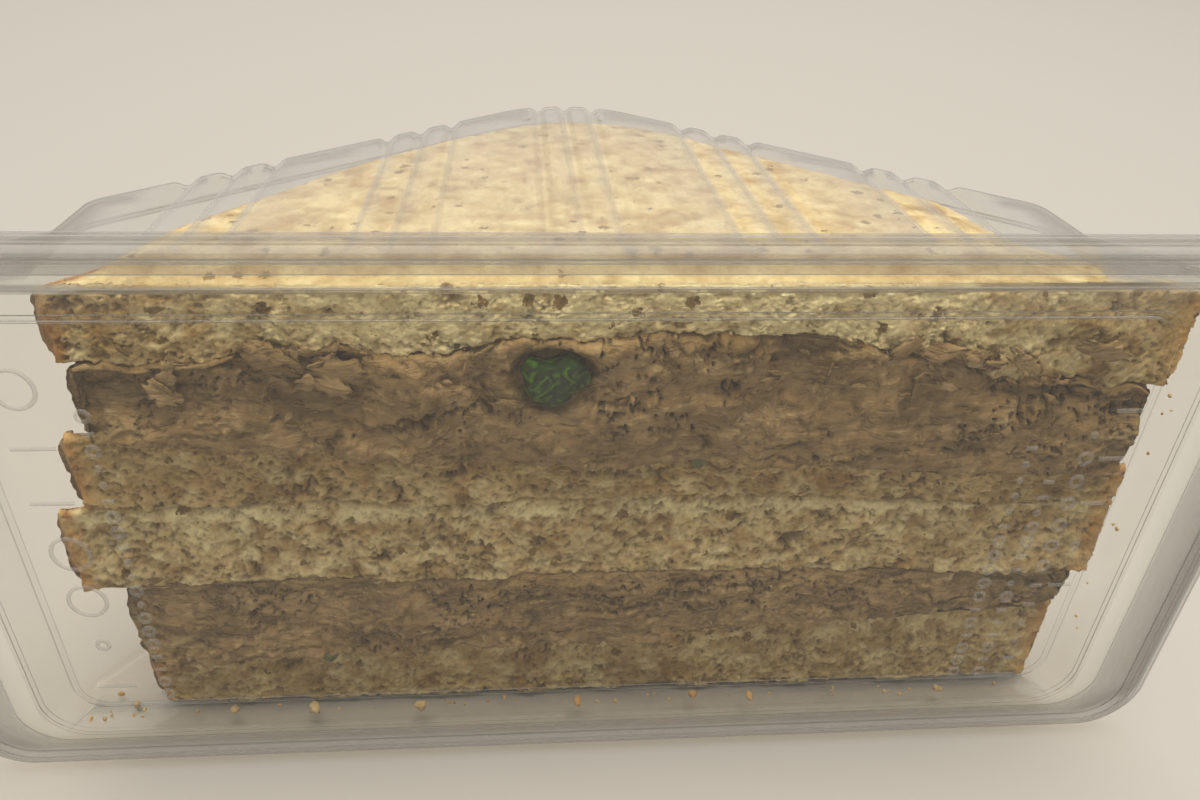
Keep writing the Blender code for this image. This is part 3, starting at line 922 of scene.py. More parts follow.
@dataclass(frozen=True)
class LooseCrumbs:
    """Crumbs that fell in front of the sandwich and against the walls.

    Each is x, v, height over the base, size and how much of it is crust. After the stated ones come those that
    are scattered in front of the food, and a few that stick to the right wall.
    """

    frame: PackFrame
    seed: int = 5
    spots: tuple = ((0.2, 3.5, 0.5, 0.75, 1.0), (19.0, 4.2, 0.5, 0.95, 1.0), (28.2, 3.4, 0.5, 0.7, 0.8),
                    (-54.0, 4.5, 0.5, 0.8, 0.1), (-41.5, 4.0, 0.5, 1.1, 0.0), (-25.0, 3.6, 0.5, 1.0, 0.1),
                    (-70.5, 8.0, 0.5, 0.8, 0.0), (-73.5, 10.0, 0.5, 0.6, 0.6), (60.0, 4.0, 0.4, 0.5, 0.3))
    scattered: int = 46
    on_wall: int = 10
    wall_x: float = 79.0

    def build(self) -> bpy.types.Object:
        """Build all the crumbs as one mesh."""
        rng = np.random.default_rng(self.seed)
        spots = list(self.spots)
        for _ in range(self.scattered):
            spots.append((rng.uniform(-76.0, 72.0), rng.uniform(2.4, 6.5), 0.3, rng.uniform(0.12, 0.42),
                          rng.uniform(0.0, 1.0) ** 2))
        for _ in range(self.on_wall):
            spots.append((self.wall_x, rng.uniform(2.5, 5.0), rng.uniform(12.0, 60.0), rng.uniform(0.15, 0.35),
                          rng.uniform(0.0, 1.0)))
        lump = bmesh.new()
        bmesh.ops.create_icosphere(lump, subdivisions=2, radius=1.0)
        sphere = np.array([tuple(vert.co) for vert in lump.verts])
        corners = [[vert.index for vert in face.verts] for face in lump.faces]
        lump.free()
        crumbs = Gathered()
        for x, v, rise, size, _ in spots:
            shift = rng.uniform(0.0, 90.0, 3)
            ball = sphere * (1.0 + 0.5 * layered_noise(sphere * 1.1 + shift, 77, 3))[:, None]
            ball *= size * rng.uniform(0.6, 1.25, 3)
            crumbs.add(ball + np.array([x, v, base_height(self.frame, v) + rise + 0.5 * size]), corners)
        obj = crumbs.mesh_object(self.frame, "bread_crumbs_loose")
        for name, values in (("pore", [0.1] * len(spots)), ("pale", [0.3] * len(spots)),
                             ("crust", [spot[4] for spot in spots])):
            add_field(obj, name, crumbs.spread(values))
        return obj


@dataclass
class LayerMesh:
    """The fine surface of one layer: rings of points round the layer, one ring to each column.

    Attributes:
        stack: where the layers lie.
        layer: which layer this is.
        pepper: the green piece, which the upper filling makes room for.
        column_mm: the spacing of the rings along the cut face.
        row_mm: the spacing of the points up the cut face.
        top_rows: how many points each ring has across its upper side.
        crust_rows: how many it has down the crust.
        middle: the point that the crust faces away from.
        pressed_in: how far a filling goes into the bread on either side.
        pepper_hollow: how deep the green piece is pressed into the filling.
        cut_round: the radius of the edges round the cut face.
        crust_round: the radius of a slice's edges along its crust.
        filling_round: the radius of a filling's edges there.
        crust_bulge: how far the crust bulges between its edges.
        between_walls: the least and the greatest x that the food may reach.
    """

    stack: Stack
    layer: Layer
    pepper: PepperPiece
    column_mm: float = 0.29
    row_mm: float = 0.29
    top_rows: int = 14
    crust_rows: int = 22
    middle: tuple[float, float, float] = (4.0, 26.0, 0.0)
    pressed_in: float = 0.25
    pepper_hollow: float = 2.4
    cut_round: float = 0.9
    crust_round: float = 2.4
    filling_round: float = 1.5
    crust_bulge: float = 0.9
    between_walls: tuple[float, float] = (-79.5, 79.6)

    def rings(self) -> tuple[np.ndarray, np.ndarray, np.ndarray, np.ndarray]:
        """Lay out the smooth surface.

        Returns:
            The points, how far back each lies as a share, how far up, and which side it is on.
        """
        columns = int((self.layer.right - self.layer.left) / self.column_mm)
        a = np.linspace(0.0, 1.0, columns + 1)
        typical_mm = 15.0 if self.layer.filling is Filling.BREAD else 13.0
        face_rows = int(typical_mm / self.row_mm)
        up = np.linspace(0.0, 1.0, face_rows + 1)
        back = ease(np.linspace(0.0, 1.0, self.top_rows + 1))[1:]
        down = np.linspace(1.0, 0.0, self.crust_rows + 1)[1:]
        under = ease(np.linspace(1.0, 0.0, 13))[1:-1]
        b = np.concatenate([np.zeros(len(up)), back, np.ones(len(down)), under])
        t = np.concatenate([up, np.ones(len(back)), down, np.zeros(len(under))])
        side = np.repeat(list(Side), [len(up), len(back), len(down), len(under)])
        cut, crust = self.stack.plan(self.layer, a)
        spot = cut[:, None, :] + (crust - cut)[:, None, :] * b[None, :, None]
        low = self.stack.boundary(self.layer.level, spot[..., 0], spot[..., 1])
        high = self.stack.boundary(self.layer.level + 1, spot[..., 0], spot[..., 1])
        near_cut = np.exp(-np.maximum(0.0, spot[..., 1] - self.layer.front) / 5.0)
        low = low + self.ragged(self.layer.level, spot) * near_cut
        high = high + self.ragged(self.layer.level + 1, spot) * near_cut
        if self.layer.filling is Filling.TUNA:
            low, high = low - self.pressed_in, high + self.pressed_in
        points = np.stack([spot[..., 0], spot[..., 1], low + (high - low) * t[None, :]], axis=-1)
        return points, np.broadcast_to(b, points.shape[:2]), np.broadcast_to(t, points.shape[:2]), side

    def ragged(self, level: int, spot: np.ndarray) -> np.ndarray:
        """How far a boundary wanders at the cut, where the knife dragged it.

        Args:
            level: which boundary.
            spot: x and v of each point.
        Returns:
            The rise or fall, in millimetres.
        """
        reach = (0.0, 0.9, 0.6, 0.5, 0.7, 1.3, 0.0)[level]
        place = np.stack([spot[..., 0] / 5.0, np.full(spot.shape[:2], level * 7.7), spot[..., 1] / 9.0], axis=-1)
        return reach * layered_noise(place, 40 + level, octaves=3, gain=0.55)

    def crumb_relief(self, points: np.ndarray, side: np.ndarray) -> tuple[np.ndarray, np.ndarray, np.ndarray]:
        """How far torn crumb stands out from the smooth surface.

        Args:
            points: the smooth surface.
            side: which side each point of a ring is on.
        Returns:
            The height in millimetres, how deep in a pore each point lies, and how pale its skin is.
        """
        # Every scale here is in cells for a millimetre, along x, v and w
        seed = self.layer.seed * 100
        drag = np.stack([layered_noise(points * 0.9, seed + k, 3, 0.65) for k in (7, 8, 9)], axis=-1) * 0.8
        large = holes((points + drag * 2.0) * np.array([0.2, 0.4, 0.3]), seed + 20, (0.02, 0.5))
        small = holes((points + drag) * np.array([0.6, 0.8, 0.72]), seed + 30, (0.1, 0.62))
        tiny = holes((points + drag * 0.7) * np.array([1.3, 1.3, 1.4]), seed + 35, (0.2, 0.75))
        fuzz = layered_noise(points * np.array([0.8, 0.9, 0.85]), seed + 40, 4, 0.72)
        lumps = layered_noise(points * 0.15, seed + 50, 3)
        height = 0.55 * lumps + 0.3 * fuzz - 1.15 * large - 0.6 * small - 0.26 * tiny
        # The pore field, deepest in the holes and low places, is painted shade in the material
        pore = 0.75 * large + 0.6 * small + 0.32 * tiny + 0.3 * np.clip(-fuzz, 0.0, 1.0)
        hole_x, hole_w, hole_size = self.layer.hole
        if hole_size:
            span = np.hypot((points[..., 0] - hole_x) / hole_size, (points[..., 2] - hole_w) / (0.7 * hole_size))
            torn = ease(1.25 - span + 0.35 * fuzz)
            height, pore = height - 2.2 * torn, pore + torn
        mottle = layered_noise(points * np.array([0.34, 0.4, 0.4]), seed + 60, 3, 0.6)
        # Paleness: the layer's own share, which is painted light on the top slice, the crumb's own mottle, and painted
        # light where the crumb stands up
        pale = along(points[..., 0], list(self.layer.pale)) + 0.5 * mottle + 0.2 * fuzz
        streak_w, streak_amount = self.layer.streak
        if streak_amount:
            wander = 1.1 * layered_noise(points * np.array([0.09, 0.1, 0.02]), seed + 61, 2)
            pale += streak_amount * np.exp(-((points[..., 2] - streak_w + wander) / 1.3) ** 2)
        # Where the crumb is pale, partly pressed smooth and partly painted light, its pores are nearly closed and their
        # painted shade is weaker
        pressed_and_lit = np.clip(pale, 0.0, 1.0) * (side == Side.CUT)
        height, pore = height + 0.35 * pressed_and_lit * (0.9 * large + 0.6 * small), pore * (1.0 - 0.6 * pressed_and_lit)
        pale = np.where(side == Side.TOP, 0.38 + 0.45 * mottle, pale)
        strength = np.array([1.0, 0.24, 0.3, 0.3])[side]
        pore = np.clip(pore, 0.0, 1.0) * np.array([1.0, 0.3, 0.3, 0.5])[side]
        return height * strength, pore, np.clip(pale, 0.0, 1.0)

    def flaked_relief(self, points: np.ndarray, side: np.ndarray) -> tuple[np.ndarray, np.ndarray, np.ndarray]:
        """How far the flaked filling stands out from the smooth surface.

        Args:
            points: the smooth surface.
            side: which side each point of a ring is on.
        Returns:
            The height in millimetres, how deep in a hollow each point lies, and how pale its flake is.
        """
        # Every scale here is in cells for a millimetre, along x, v and w
        seed = self.layer.seed * 100
        curl = np.stack([layered_noise(points * 0.12, seed + k, 4, 0.55) for k in (7, 8, 9)], axis=-1) * 5.0
        broad = layered_noise((points + curl) * np.array([0.09, 0.2, 0.2]), seed + 20, 3, 0.5)
        plates, tone = shingles((points + curl) * np.array([0.15, 0.3, 0.36]), seed + 25, (0.45, 1.15))
        slips, slip_tone = shingles((points + curl * 0.9) * np.array([0.36, 0.6, 0.95]), seed + 45, (0.3, 1.1))
        shreds = 1.0 - np.abs(soft_noise((points + curl * 0.8) * np.array([0.4, 1.0, 1.7]), seed + 31)) * 2.0
        crack = np.abs(layered_noise((points + curl) * np.array([0.1, 0.3, 0.3]), seed + 60, 3, 0.6))
        where = ease(layered_noise(points * np.array([0.07, 0.1, 0.12]), seed + 70, 2) * 2.6 + 0.2)
        gaps = ease((0.07 - crack) * 18.0) * where
        height = 0.8 * broad + 1.0 * plates + 0.42 * slips + 0.26 * shreds - 1.2 * gaps - 0.5
        # The pore field, strongest in the cracks and under the plates and slips, is painted shade in the material; the
        # shreds' crests are painted a little paler, as painted light
        pore = gaps + 0.6 * ease(0.42 - plates) + 0.3 * ease(0.4 - slips) + 0.15 * np.clip(-shreds, 0.0, 1.0)
        pale = 0.5 * (tone - 0.62) + 0.5 * (slip_tone - 0.6) + 0.12 * shreds
        recess = along(points[..., 0], list(self.layer.recess)) * ease((points[..., 2] - self.layer.recess_above) / 5.0)
        strength = np.array([1.0, 0.4, 0.5, 0.4])[side]
        # Where the cut face falls back under the bread its pore field rises a little: painted shade
        hollow = recess * (side == Side.CUT)
        return height * strength - hollow, np.clip(pore + 0.1 * hollow, 0.0, 1.0), np.clip(pale, -0.25, 0.5)

    def build(self) -> bpy.types.Object:
        """Build the layer's object, with the fields pore, pale and crust for its material."""
        points, b, t, side = self.rings()
        cut, crust = points[:, :1], points[:, np.flatnonzero(side == Side.CRUST)[:1]]
        depth = np.linalg.norm((crust - cut)[..., :2], axis=-1)
        behind = b * depth * 0.72
        ahead = (1.0 - b) * depth * 0.72
        tall = points[:, np.flatnonzero(side == Side.CUT)[-1], 2] - points[:, 0, 2]
        edge = np.minimum(t, 1.0 - t) * tall[:, None]
        is_bread = self.layer.filling is Filling.BREAD
        height, pore, pale = (self.crumb_relief if is_bread else self.flaked_relief)(points, side)
        if self.layer.node == "tuna_salad_upper":
            height -= self.pepper_hollow * ease((1.5 - self.pepper.reach(points)) * 2.0) * (side == Side.CUT)
        outward = points - np.array(self.middle)
        outward[..., 2] = 0.0
        outward /= np.maximum(1e-6, np.linalg.norm(outward, axis=-1, keepdims=True))
        faces = {Side.CUT: (0.0, -1.0, 0.0), Side.TOP: (0.0, 0.0, 1.0), Side.UNDER: (0.0, 0.0, -1.0)}
        shaped = points.copy()
        for one in Side:
            chosen = side == one
            direction = outward[:, chosen] if one is Side.CRUST else np.array(faces[one])
            if one is Side.CUT:
                amount = height[:, chosen] - fillet(edge[:, chosen], self.cut_round)
            elif one is Side.CRUST:
                fall = fillet(edge[:, chosen], self.crust_round if is_bread else self.filling_round)
                amount = height[:, chosen] - fall + self.crust_bulge * (1.0 - (2.0 * t[:, chosen] - 1.0) ** 4)
            else:
                fall = fillet(ahead[:, chosen], self.crust_round) + fillet(behind[:, chosen], self.cut_round)
                amount = height[:, chosen] * np.clip(behind[:, chosen] / 2.0, 0.0, 1.0) - fall
            shaped[:, chosen] += direction * amount[..., None]
        shaped[..., 1] = np.maximum(shaped[..., 1], PANE_BACK_V + 0.25 * soft_noise(points * 0.5, 3))
        lower_limit = self.stack.slope(shaped[..., 1]) + 0.45
        upper_limit = self.stack.top(shaped[..., 0], shaped[..., 1]) + 0.25
        shaped[..., 2] = np.clip(shaped[..., 2], lower_limit, upper_limit)
        shaped[..., 0] = np.clip(shaped[..., 0], *self.between_walls)
        count, width = shaped.shape[:2]
        quads = grid_faces(count, width, True, flip=True)
        quads += [list(range(width)), list(reversed(range((count - 1) * width, count * width)))]
        obj = self.stack.frame.mesh_object(self.layer.node + ("_crumb" if is_bread else "_flaked"),
                                           shaped.reshape(-1, 3), quads)
        rough = soft_noise(points * 0.9, 5)
        skin = ease((2.6 - np.where(side == Side.CRUST, 0.0, ahead)) / 1.6 + 0.25 * rough)
        rim = np.where(points[..., 0] < 0.0, 1.0, 0.45) * (side == Side.TOP)
        skin = skin + 0.7 * rim * ease((2.2 - ahead) / 1.2 + 0.5 * rough)
        add_field(obj, "pore", pore)
        add_field(obj, "pale", pale)
        add_field(obj, "crust", skin if is_bread else np.zeros_like(skin))
        return obj


@dataclass
class Sandwich:
    """All the food: four slices, two fillings, the green piece, small green bits, flakes and crumbs."""

    stack: Stack
    body: str
    bits: tuple = ((-38.5, 6.6, 13.4), (15.8, 5.4, 51.6), (24.0, 4.4, 57.5), (-20.0, 6.6, 20.5))
    bit_size: float = 0.34
    layers: list[Layer] = field(default_factory=lambda: [
        Layer("bread_slice_4", Filling.BREAD, 0, -65.5, 77.0, 8.0, seed=4, pale=((-80, 0.1), (80, 0.2))),
        Layer("tuna_salad_lower", Filling.TUNA, 1, -65.0, 76.0, 6.0, 0.95, seed=5,
              recess=((-66, 1.0), (-40, 0.3), (30, 0.0), (76, 0.8)), recess_above=14.0),
        Layer("bread_slice_3", Filling.BREAD, 2, -71.0, 78.7, 5.8, seed=3, pale=((-80, 0.35), (80, 0.25)),
              hole=(30.9, 36.1, 1.9), streak=(43.2, 0.45)),
        Layer("bread_slice_2", Filling.BREAD, 3, -67.0, 78.4, 5.4, seed=2, pale=((-80, 0.0), (80, 0.05))),
        Layer("tuna_salad_upper", Filling.TUNA, 4, -62.5, 76.0, 4.0, 0.95, seed=6,
              recess=((-64, 2.4), (-44, 1.5), (-34, 2.8), (-24, 0.3), (0, -0.3), (16, 0.0), (27, 2.2), (36, 0.2),
                      (50, 0.9), (64, 2.9), (78, 2.6)),
              recess_above=59.0),
        # The top slice's cut face is painted pale, most in its middle: partly crumb pressed smooth and partly painted
        # light from above, which falls most on the top of the stack
        Layer("bread_slice_1", Filling.BREAD, 5, -64.5, 78.8, 5.0, 1.06, seed=1,
              pale=((-66, 0.1), (-50, 0.25), (-30, 0.8), (34, 0.95), (52, 0.5), (79, 0.05)))])

    def build(self) -> None:
        """Build and dress every piece of the food."""
        finishes = {Filling.BREAD: BreadCrumb().build(), Filling.TUNA: TunaSalad().build()}
        pepper = PepperPiece(self.stack.frame)
        for layer in self.layers:
            # Only the top slice shows its upper face, so only that one is fine there
            spacing = {"column_mm": 0.31, "top_rows": 76} if layer is self.layers[-1] else {}
            obj = LayerMesh(self.stack, layer, pepper, **spacing).build()
            obj.data.materials.append(finishes[layer.filling])
            place_piece(obj, self.body, layer.filling.value, layer.node)
        place_piece(pepper.build(), self.body, "green_pepper", "green_pepper_piece")
        dressed = GreenPepper("green_pepper_in_dressing", deep="5C6436", light="87905A")
        for number, centre in enumerate(self.bits, 1):
            bit = PepperPiece(self.stack.frame, centre, size=self.bit_size, name=f"green_pepper_bit_{number}",
                              finish=dressed)
            place_piece(bit.build(), self.body, "green_pepper")
        for loose, filling in ((LooseFlakes(self.stack.frame), Filling.TUNA),
                               (LooseCrumbs(self.stack.frame), Filling.BREAD)):
            obj = loose.build()
            obj.data.materials.append(finishes[filling])
            place_piece(obj, self.body, filling.value)


def place_piece(obj: bpy.types.Object, body: str, slot: str, *nodes: str) -> None:
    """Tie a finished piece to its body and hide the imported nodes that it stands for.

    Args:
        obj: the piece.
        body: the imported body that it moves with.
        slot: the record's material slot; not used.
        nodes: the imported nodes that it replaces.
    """
    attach(obj, body)
    if nodes:
        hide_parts(*nodes)
    LOG.info("%s built, %d faces", obj.name, len(obj.data.polygons))


# The pack


def rounded_path(corners: list[tuple[float, float]], radii: list[float], segments: int) -> list[Vector]:
    """A path through the corners, each one with an arc of its own radius.

    Args:
        corners: the corners, in order round the shape.
        radii: the radius of each corner's arc, or 0 for a sharp one.
        segments: how many steps each arc has.
    Returns:
        The path's points.
    """
    path = []
    for index, (corner, radius) in enumerate(zip(corners, radii)):
        here = Vector(corner)
        if radius == 0.0:
            path.append(here)
            continue
        before = (Vector(corners[index - 1]) - here).normalized()
        after = (Vector(corners[(index + 1) % len(corners)]) - here).normalized()
        half_angle = before.angle(after) / 2.0
        centre = here + (before + after).normalized() * (radius / math.sin(half_angle))
        start, end = (here + arm * (radius / math.tan(half_angle)) - centre for arm in (before, after))
        turn = start.angle(end)
        for step in range(segments + 1):
            weights = math.sin((1.0 - step / segments) * turn), math.sin(step / segments * turn)
            path.append(centre + (start * weights[0] + end * weights[1]) / math.sin(turn))
    return path


def rounded_rectangle(half_width: float, bottom: float, top: float, radius: float, segments: int) -> list[Vector]:
    """A rounded rectangle as a closed loop of x and w points.

    Args:
        half_width: half of its width.
        bottom: its lower edge.
        top: its upper edge.
        radius: the radius of its corners.
        segments: how many steps each corner has.
    Returns:
        The loop, always with the same number of points.
    """
    corners = [(half_width, bottom), (half_width, top), (-half_width, top), (-half_width, bottom)]
    return rounded_path(corners, [radius] * 4, segments)


def formed_sheet(obj: bpy.types.Object, finish: bpy.types.Material, sheet_mm: float) -> None:
    """Give an open surface its finish and the thickness of the sheet, half of it to each side.

    Args:
        obj: the surface.
        finish: the clear sheet's material.
        sheet_mm: how thick the sheet is.
    """
    solid = obj.modifiers.new("sheet", "SOLIDIFY")
    solid.thickness = sheet_mm * MM
    solid.offset = 0.0
    obj.data.materials.append(finish)


@dataclass
class WindowLid:
    """The front window with its frame, bead and recessed pane.

    Each station is half width, bottom, top, corner radius and v.
    """

    frame: PackFrame
    body: str
    sheet_mm: float = 0.5
    turn_mm: float = 0.7
    corner_steps: int = 14
    stations: tuple = (
        (91.5, 0.0, 88.0, 9.0, -0.9), (90.4, 0.8, 87.3, 8.2, -0.9), (89.9, 1.2, 86.9, 7.8, -1.8),
        (89.0, 1.9, 86.1, 7.2, -2.35), (88.1, 2.7, 85.3, 6.6, -1.8), (87.6, 3.1, 84.9, 6.2, -0.9),
        (83.6, 4.5, 83.5, 6.7, -0.9), (82.9, 4.8, 83.2, 6.7, -0.9), (79.6, 6.2, 82.1, 7.0, -0.9),
        (79.3, 6.45, 81.85, 6.9, -1.25), (79.0, 6.7, 81.55, 6.8, -0.8), (78.6, 7.0, 81.2, 6.6, -0.4),
        (75.6, 9.0, 77.6, 5.0, 1.2), (74.6, 9.8, 76.6, 4.4, 1.6), (74.25, 10.1, 76.3, 4.2, 1.25),
        (73.9, 10.4, 76.0, 4.0, 1.6), (73.0, 11.2, 75.2, 3.6, 1.6))
    flange_haze: float = 0.22

    def profile(self) -> np.ndarray:
        """The stations with their corners rounded."""
        table = np.array(self.stations)
        rows = [table[0]]
        for before, here, after in zip(table, table[1:], table[2:]):
            reach = [min(0.5, self.turn_mm / np.linalg.norm((other - here)[[0, 4]])) for other in (before, after)]
            start, end = here + (before - here) * reach[0], here + (after - here) * reach[1]
            for t in np.linspace(0.0, 1.0, 5):
                rows.append((1 - t) ** 2 * start + 2 * t * (1 - t) * here + t ** 2 * end)
        rows.append(table[-1])
        return np.array(rows)

    def build(self, finish: bpy.types.Material) -> None:
        """Build the lid.

        Args:
            finish: the clear sheet's material.
        """
        points = []
        rows = self.profile()
        for half_width, bottom, top, radius, v in rows:
            loop = rounded_rectangle(half_width, bottom, top, radius, self.corner_steps)
            points += [(p.x, v, p.y) for p in loop]
        width = len(points) // len(rows)
        faces = grid_faces(len(rows), width, True)
        faces.append(list(range((len(rows) - 1) * width, len(rows) * width)))
        obj = self.frame.mesh_object("window_lid_formed", np.array(points), faces)
        on_flange = np.repeat(ease((rows[:, 0] - 82.9) / 0.6) * (1.0 + 0.5 * ease(-rows[:, 4] - 0.9)), width)
        add_field(obj, "haze", self.flange_haze * on_flange)
        formed_sheet(obj, finish, self.sheet_mm)
        place_piece(obj, self.body, "clear_plastic", "lid")


class Mark(Enum):
    """The plain shapes raised on the window, each with how many sides its line has."""

    RING = 24
    DOT = 10
    BAR = 1


@dataclass
class WindowMarks:
    """Columns of plain rings, dots and bars, raised on the window where it was moulded.

    Each column is x, its lower end, its upper end, the height of its marks and how many it has.
    """

    frame: PackFrame
    body: str
    seed: int = 31
    line_mm: float = 0.3
    pane_v: float = 1.38
    haze: float = 0.32
    columns: tuple = ((-68.6, 14.0, 67.0, 6.6, 7), (-61.6, 12.0, 63.0, 1.9, 20), (60.2, 11.0, 56.0, 2.0, 17),
                      (64.4, 11.0, 50.0, 2.0, 15), (68.4, 14.0, 58.0, 2.2, 12), (72.0, 30.0, 62.0, 4.2, 5))

    def line(self, mark: Mark, height: float) -> np.ndarray:
        """The middle line of one mark, as x and w points round its centre.

        Args:
            mark: which shape.
            height: how tall it is.
        Returns:
            The points, with the first one again at the end of a closed line.
        """
        if mark is Mark.BAR:
            return np.linspace((-0.42, 0.0), (0.42, 0.0), 4) * height
        turn = np.linspace(0.0, 2.0 * math.pi, mark.value + 1)
        reach = height * (0.42 if mark is Mark.RING else 0.14)
        return np.stack([0.9 * reach * np.cos(turn), reach * np.sin(turn)], axis=1)

    def build(self, finish: bpy.types.Material) -> None:
        """Build every mark as a half-round ridge, all in one mesh.

        Args:
            finish: the clear sheet's material.
        """
        rng = np.random.default_rng(self.seed)
        arc = np.linspace(0.0, math.pi, 6)
        marks = Gathered()
        for x, low, high, height, count in self.columns:
            for w in np.linspace(low, high, count):
                line = self.line(rng.choice([Mark.RING, Mark.RING, Mark.BAR, Mark.DOT]), height) + np.array([x, w])
                ahead = np.gradient(line, axis=0)
                aside = np.stack([ahead[:, 1], -ahead[:, 0]], axis=1)
                aside /= np.linalg.norm(aside, axis=1, keepdims=True)
                flat = line[:, None, :] + aside[:, None, :] * np.cos(arc)[None, :, None] * self.line_mm
                rise = np.broadcast_to(self.pane_v - self.line_mm * np.sin(arc), flat.shape[:2])
                marks.add(np.stack([flat[..., 0], rise, flat[..., 1]], axis=-1).reshape(-1, 3),
                          grid_faces(len(line), len(arc), False))
        obj = marks.mesh_object(self.frame, "window_marks_moulded")
        add_field(obj, "haze", np.full(len(obj.data.vertices), self.haze))
        obj.data.materials.append(finish)
        place_piece(obj, self.body, "clear_plastic")


@dataclass
class Tray:
    """The wedge-shaped tray behind the window, with its grooved raised panel and its flange."""

    frame: PackFrame
    body: str
    sheet_mm: float = 0.45
    half_width: float = 80.5
    diagonal: float = 94.0
    side_corner: float = 8.0
    back_corner: float = 18.0
    edge_round: float = 3.0
    shoulder: float = 80.0
    lip_rise: float = 2.3
    lip_depth: float = 1.6
    dome_half: float = 66.0
    dome_front: float = 2.4
    dome_diagonal: float = 89.0
    dome_rise: float = 4.3
    dome_ramp: float = 3.2
    dome_corner: float = 4.5
    group_pitch: float = 24.3
    groove_pitch: float = 4.8
    groove_half: float = 1.5
    groove_depth: float = 0.9
    flange: tuple[float, float, float] = (91.5, 88.0, 9.0)
    flange_haze: float = 0.14
    haze_width: float = 4.6
    weld_mm: float = 0.002
    sharp_deg: float = 60.0
    corner_steps: int = 10

    def outline(self, inset: float) -> list[Vector]:
        """The tray seen from above, from the right front round the back to the left.

        Args:
            inset: how far inside the widest outline to draw it.
        Returns:
            An open line of x and v points.
        """
        half, diagonal = self.half_width - inset, self.diagonal - inset * math.sqrt(2.0)
        corners = [(half, 0.0), (half, diagonal - half), (0.0, diagonal)]
        corners += [(-x, v) for x, v in reversed(corners[:2])]
        side, back = self.side_corner - inset, self.back_corner - inset
        return rounded_path(corners, [0.0, side, back, side, 0.0], self.corner_steps)

    def dome(self, inset: float) -> list[Vector]:
        """The raised panel seen from above.

        Args:
            inset: how far inside the panel's foot to draw it.
        Returns:
            A closed loop of x and v points.
        """
        half, diagonal = self.dome_half - inset, self.dome_diagonal - inset * math.sqrt(2.0)
        corners = [(half, self.dome_front + inset), (half, diagonal - half), (0.0, diagonal)]
        corners += [(-x, v) for x, v in reversed(corners[:2])]
        front, side, back = self.dome_corner - inset, self.side_corner - inset, self.back_corner - inset
        return rounded_path(corners, [front, side, back, side, front], 8)

    def grooves(self) -> list[float]:
        """Where the five groups of three grooves run, front to back."""
        return [group * self.group_pitch + step * self.groove_pitch for group in range(-2, 3) for step in (-1, 0, 1)]

    def top_height(self, spots: np.ndarray) -> np.ndarray:
        """The height of the top end face.

        Args:
            spots: x and v of each point.
        Returns:
            One height for each point, with the lip, the raised panel and its rounded grooves.
        """
        x, v = spots[:, 0], spots[:, 1]
        loop = np.array(self.dome(0.0))
        ends = np.roll(loop, -1, axis=0)
        edge = ends - loop
        to_point = spots[:, None, :] - loop[None]
        share = np.clip((to_point * edge).sum(-1) / (edge ** 2).sum(-1), 0.0, 1.0)
        distance = np.linalg.norm(to_point - share[..., None] * edge, axis=-1).min(axis=1)
        within = ((edge[:, 0] * to_point[..., 1] - edge[:, 1] * to_point[..., 0]) > -1e-6).all(axis=1)
        risen = np.where(within, np.clip(distance / self.dome_ramp, 0.0, 1.0), 0.0)
        risen = 0.35 * ease(risen) + 0.65 * risen
        nearest = np.abs(x[:, None] - np.array(self.grooves())[None]).min(axis=1)
        groove = self.groove_depth * (0.5 + 0.5 * np.cos(math.pi * np.clip(nearest / self.groove_half, 0.0, 1.0)))
        lip = self.lip_rise * np.clip(1.0 - v / self.lip_depth, 0.0, 1.0)
        slope = v * math.tan(math.radians(self.frame.draft_deg))
        return self.shoulder - slope + lip + (self.dome_rise - groove) * risen

    def panel(self, outline: list[Vector], paths: list[tuple[list[Vector], bool]]) -> tuple[list, list]:
        """Triangles over an outline that follow the paths inside it.

        Args:
            outline: the closed outline.
            paths: open or closed lines, each with whether it is closed.
        Returns:
            The points and the corners of each triangle.
        """
        points, edges = list(outline), [(i, (i + 1) % len(outline)) for i in range(len(outline))]
        for path, closed in paths:
            first = len(points)
            points += path
            edges += [(first + i, first + i + 1) for i in range(len(path) - 1)]
            if closed:
                edges.append((len(points) - 1, first))
        found, _, faces, *_ = delaunay_2d_cdt(points, edges, [list(range(len(outline)))], 1, 1e-4)
        return found, faces

    def groove_lines(self) -> list[tuple[list[Vector], bool]]:
        """Seven lines along each groove, for its rounded section, from brim to brim."""
        foot = np.array(self.dome(0.0))
        lines = []
        for centre, offset in product(self.grooves(), np.linspace(-self.groove_half, self.groove_half, 7)):
            x = centre + offset
            reach = self.dome_front
            for a, b in zip(foot, np.roll(foot, -1, axis=0)):
                if min(a[0], b[0]) <= x <= max(a[0], b[0]) and a[0] != b[0]:
                    reach = max(reach, a[1] + (b[1] - a[1]) * (x - a[0]) / (b[0] - a[0]))
            if reach > self.dome_front + 1.0:
                steps = np.linspace(self.dome_front, reach, max(3, int(reach / 4.0)))
                lines.append(([Vector((x, v)) for v in steps], False))
        return lines

    def build(self, finish: bpy.types.Material) -> None:
        """Build the tray.

        Args:
            finish: the clear sheet's material.
        """
        tray = Gathered()
        rim = self.outline(self.edge_round)
        ends = rim[0].x, -rim[0].x
        # Each path comes with whether it is closed
        cross = [([Vector((x, v)) for x in ends], False) for v in (0.5, 1.0, self.lip_depth)]
        loops = [(self.dome(inset), True) for inset in np.linspace(0.0, self.dome_ramp, 7)]
        found, triangles = self.panel(rim, cross + loops + self.groove_lines())
        heights = self.top_height(np.array([tuple(p) for p in found]))
        tray.add([(p.x, p.y, h) for p, h in zip(found, heights)], triangles)
        heel = [([Vector((x, HEEL_DEPTH)) for x in ends], False)]
        found, triangles = self.panel(rim, heel)
        tray.add([(p.x, p.y, base_height(self.frame, p.y)) for p in found], triangles)

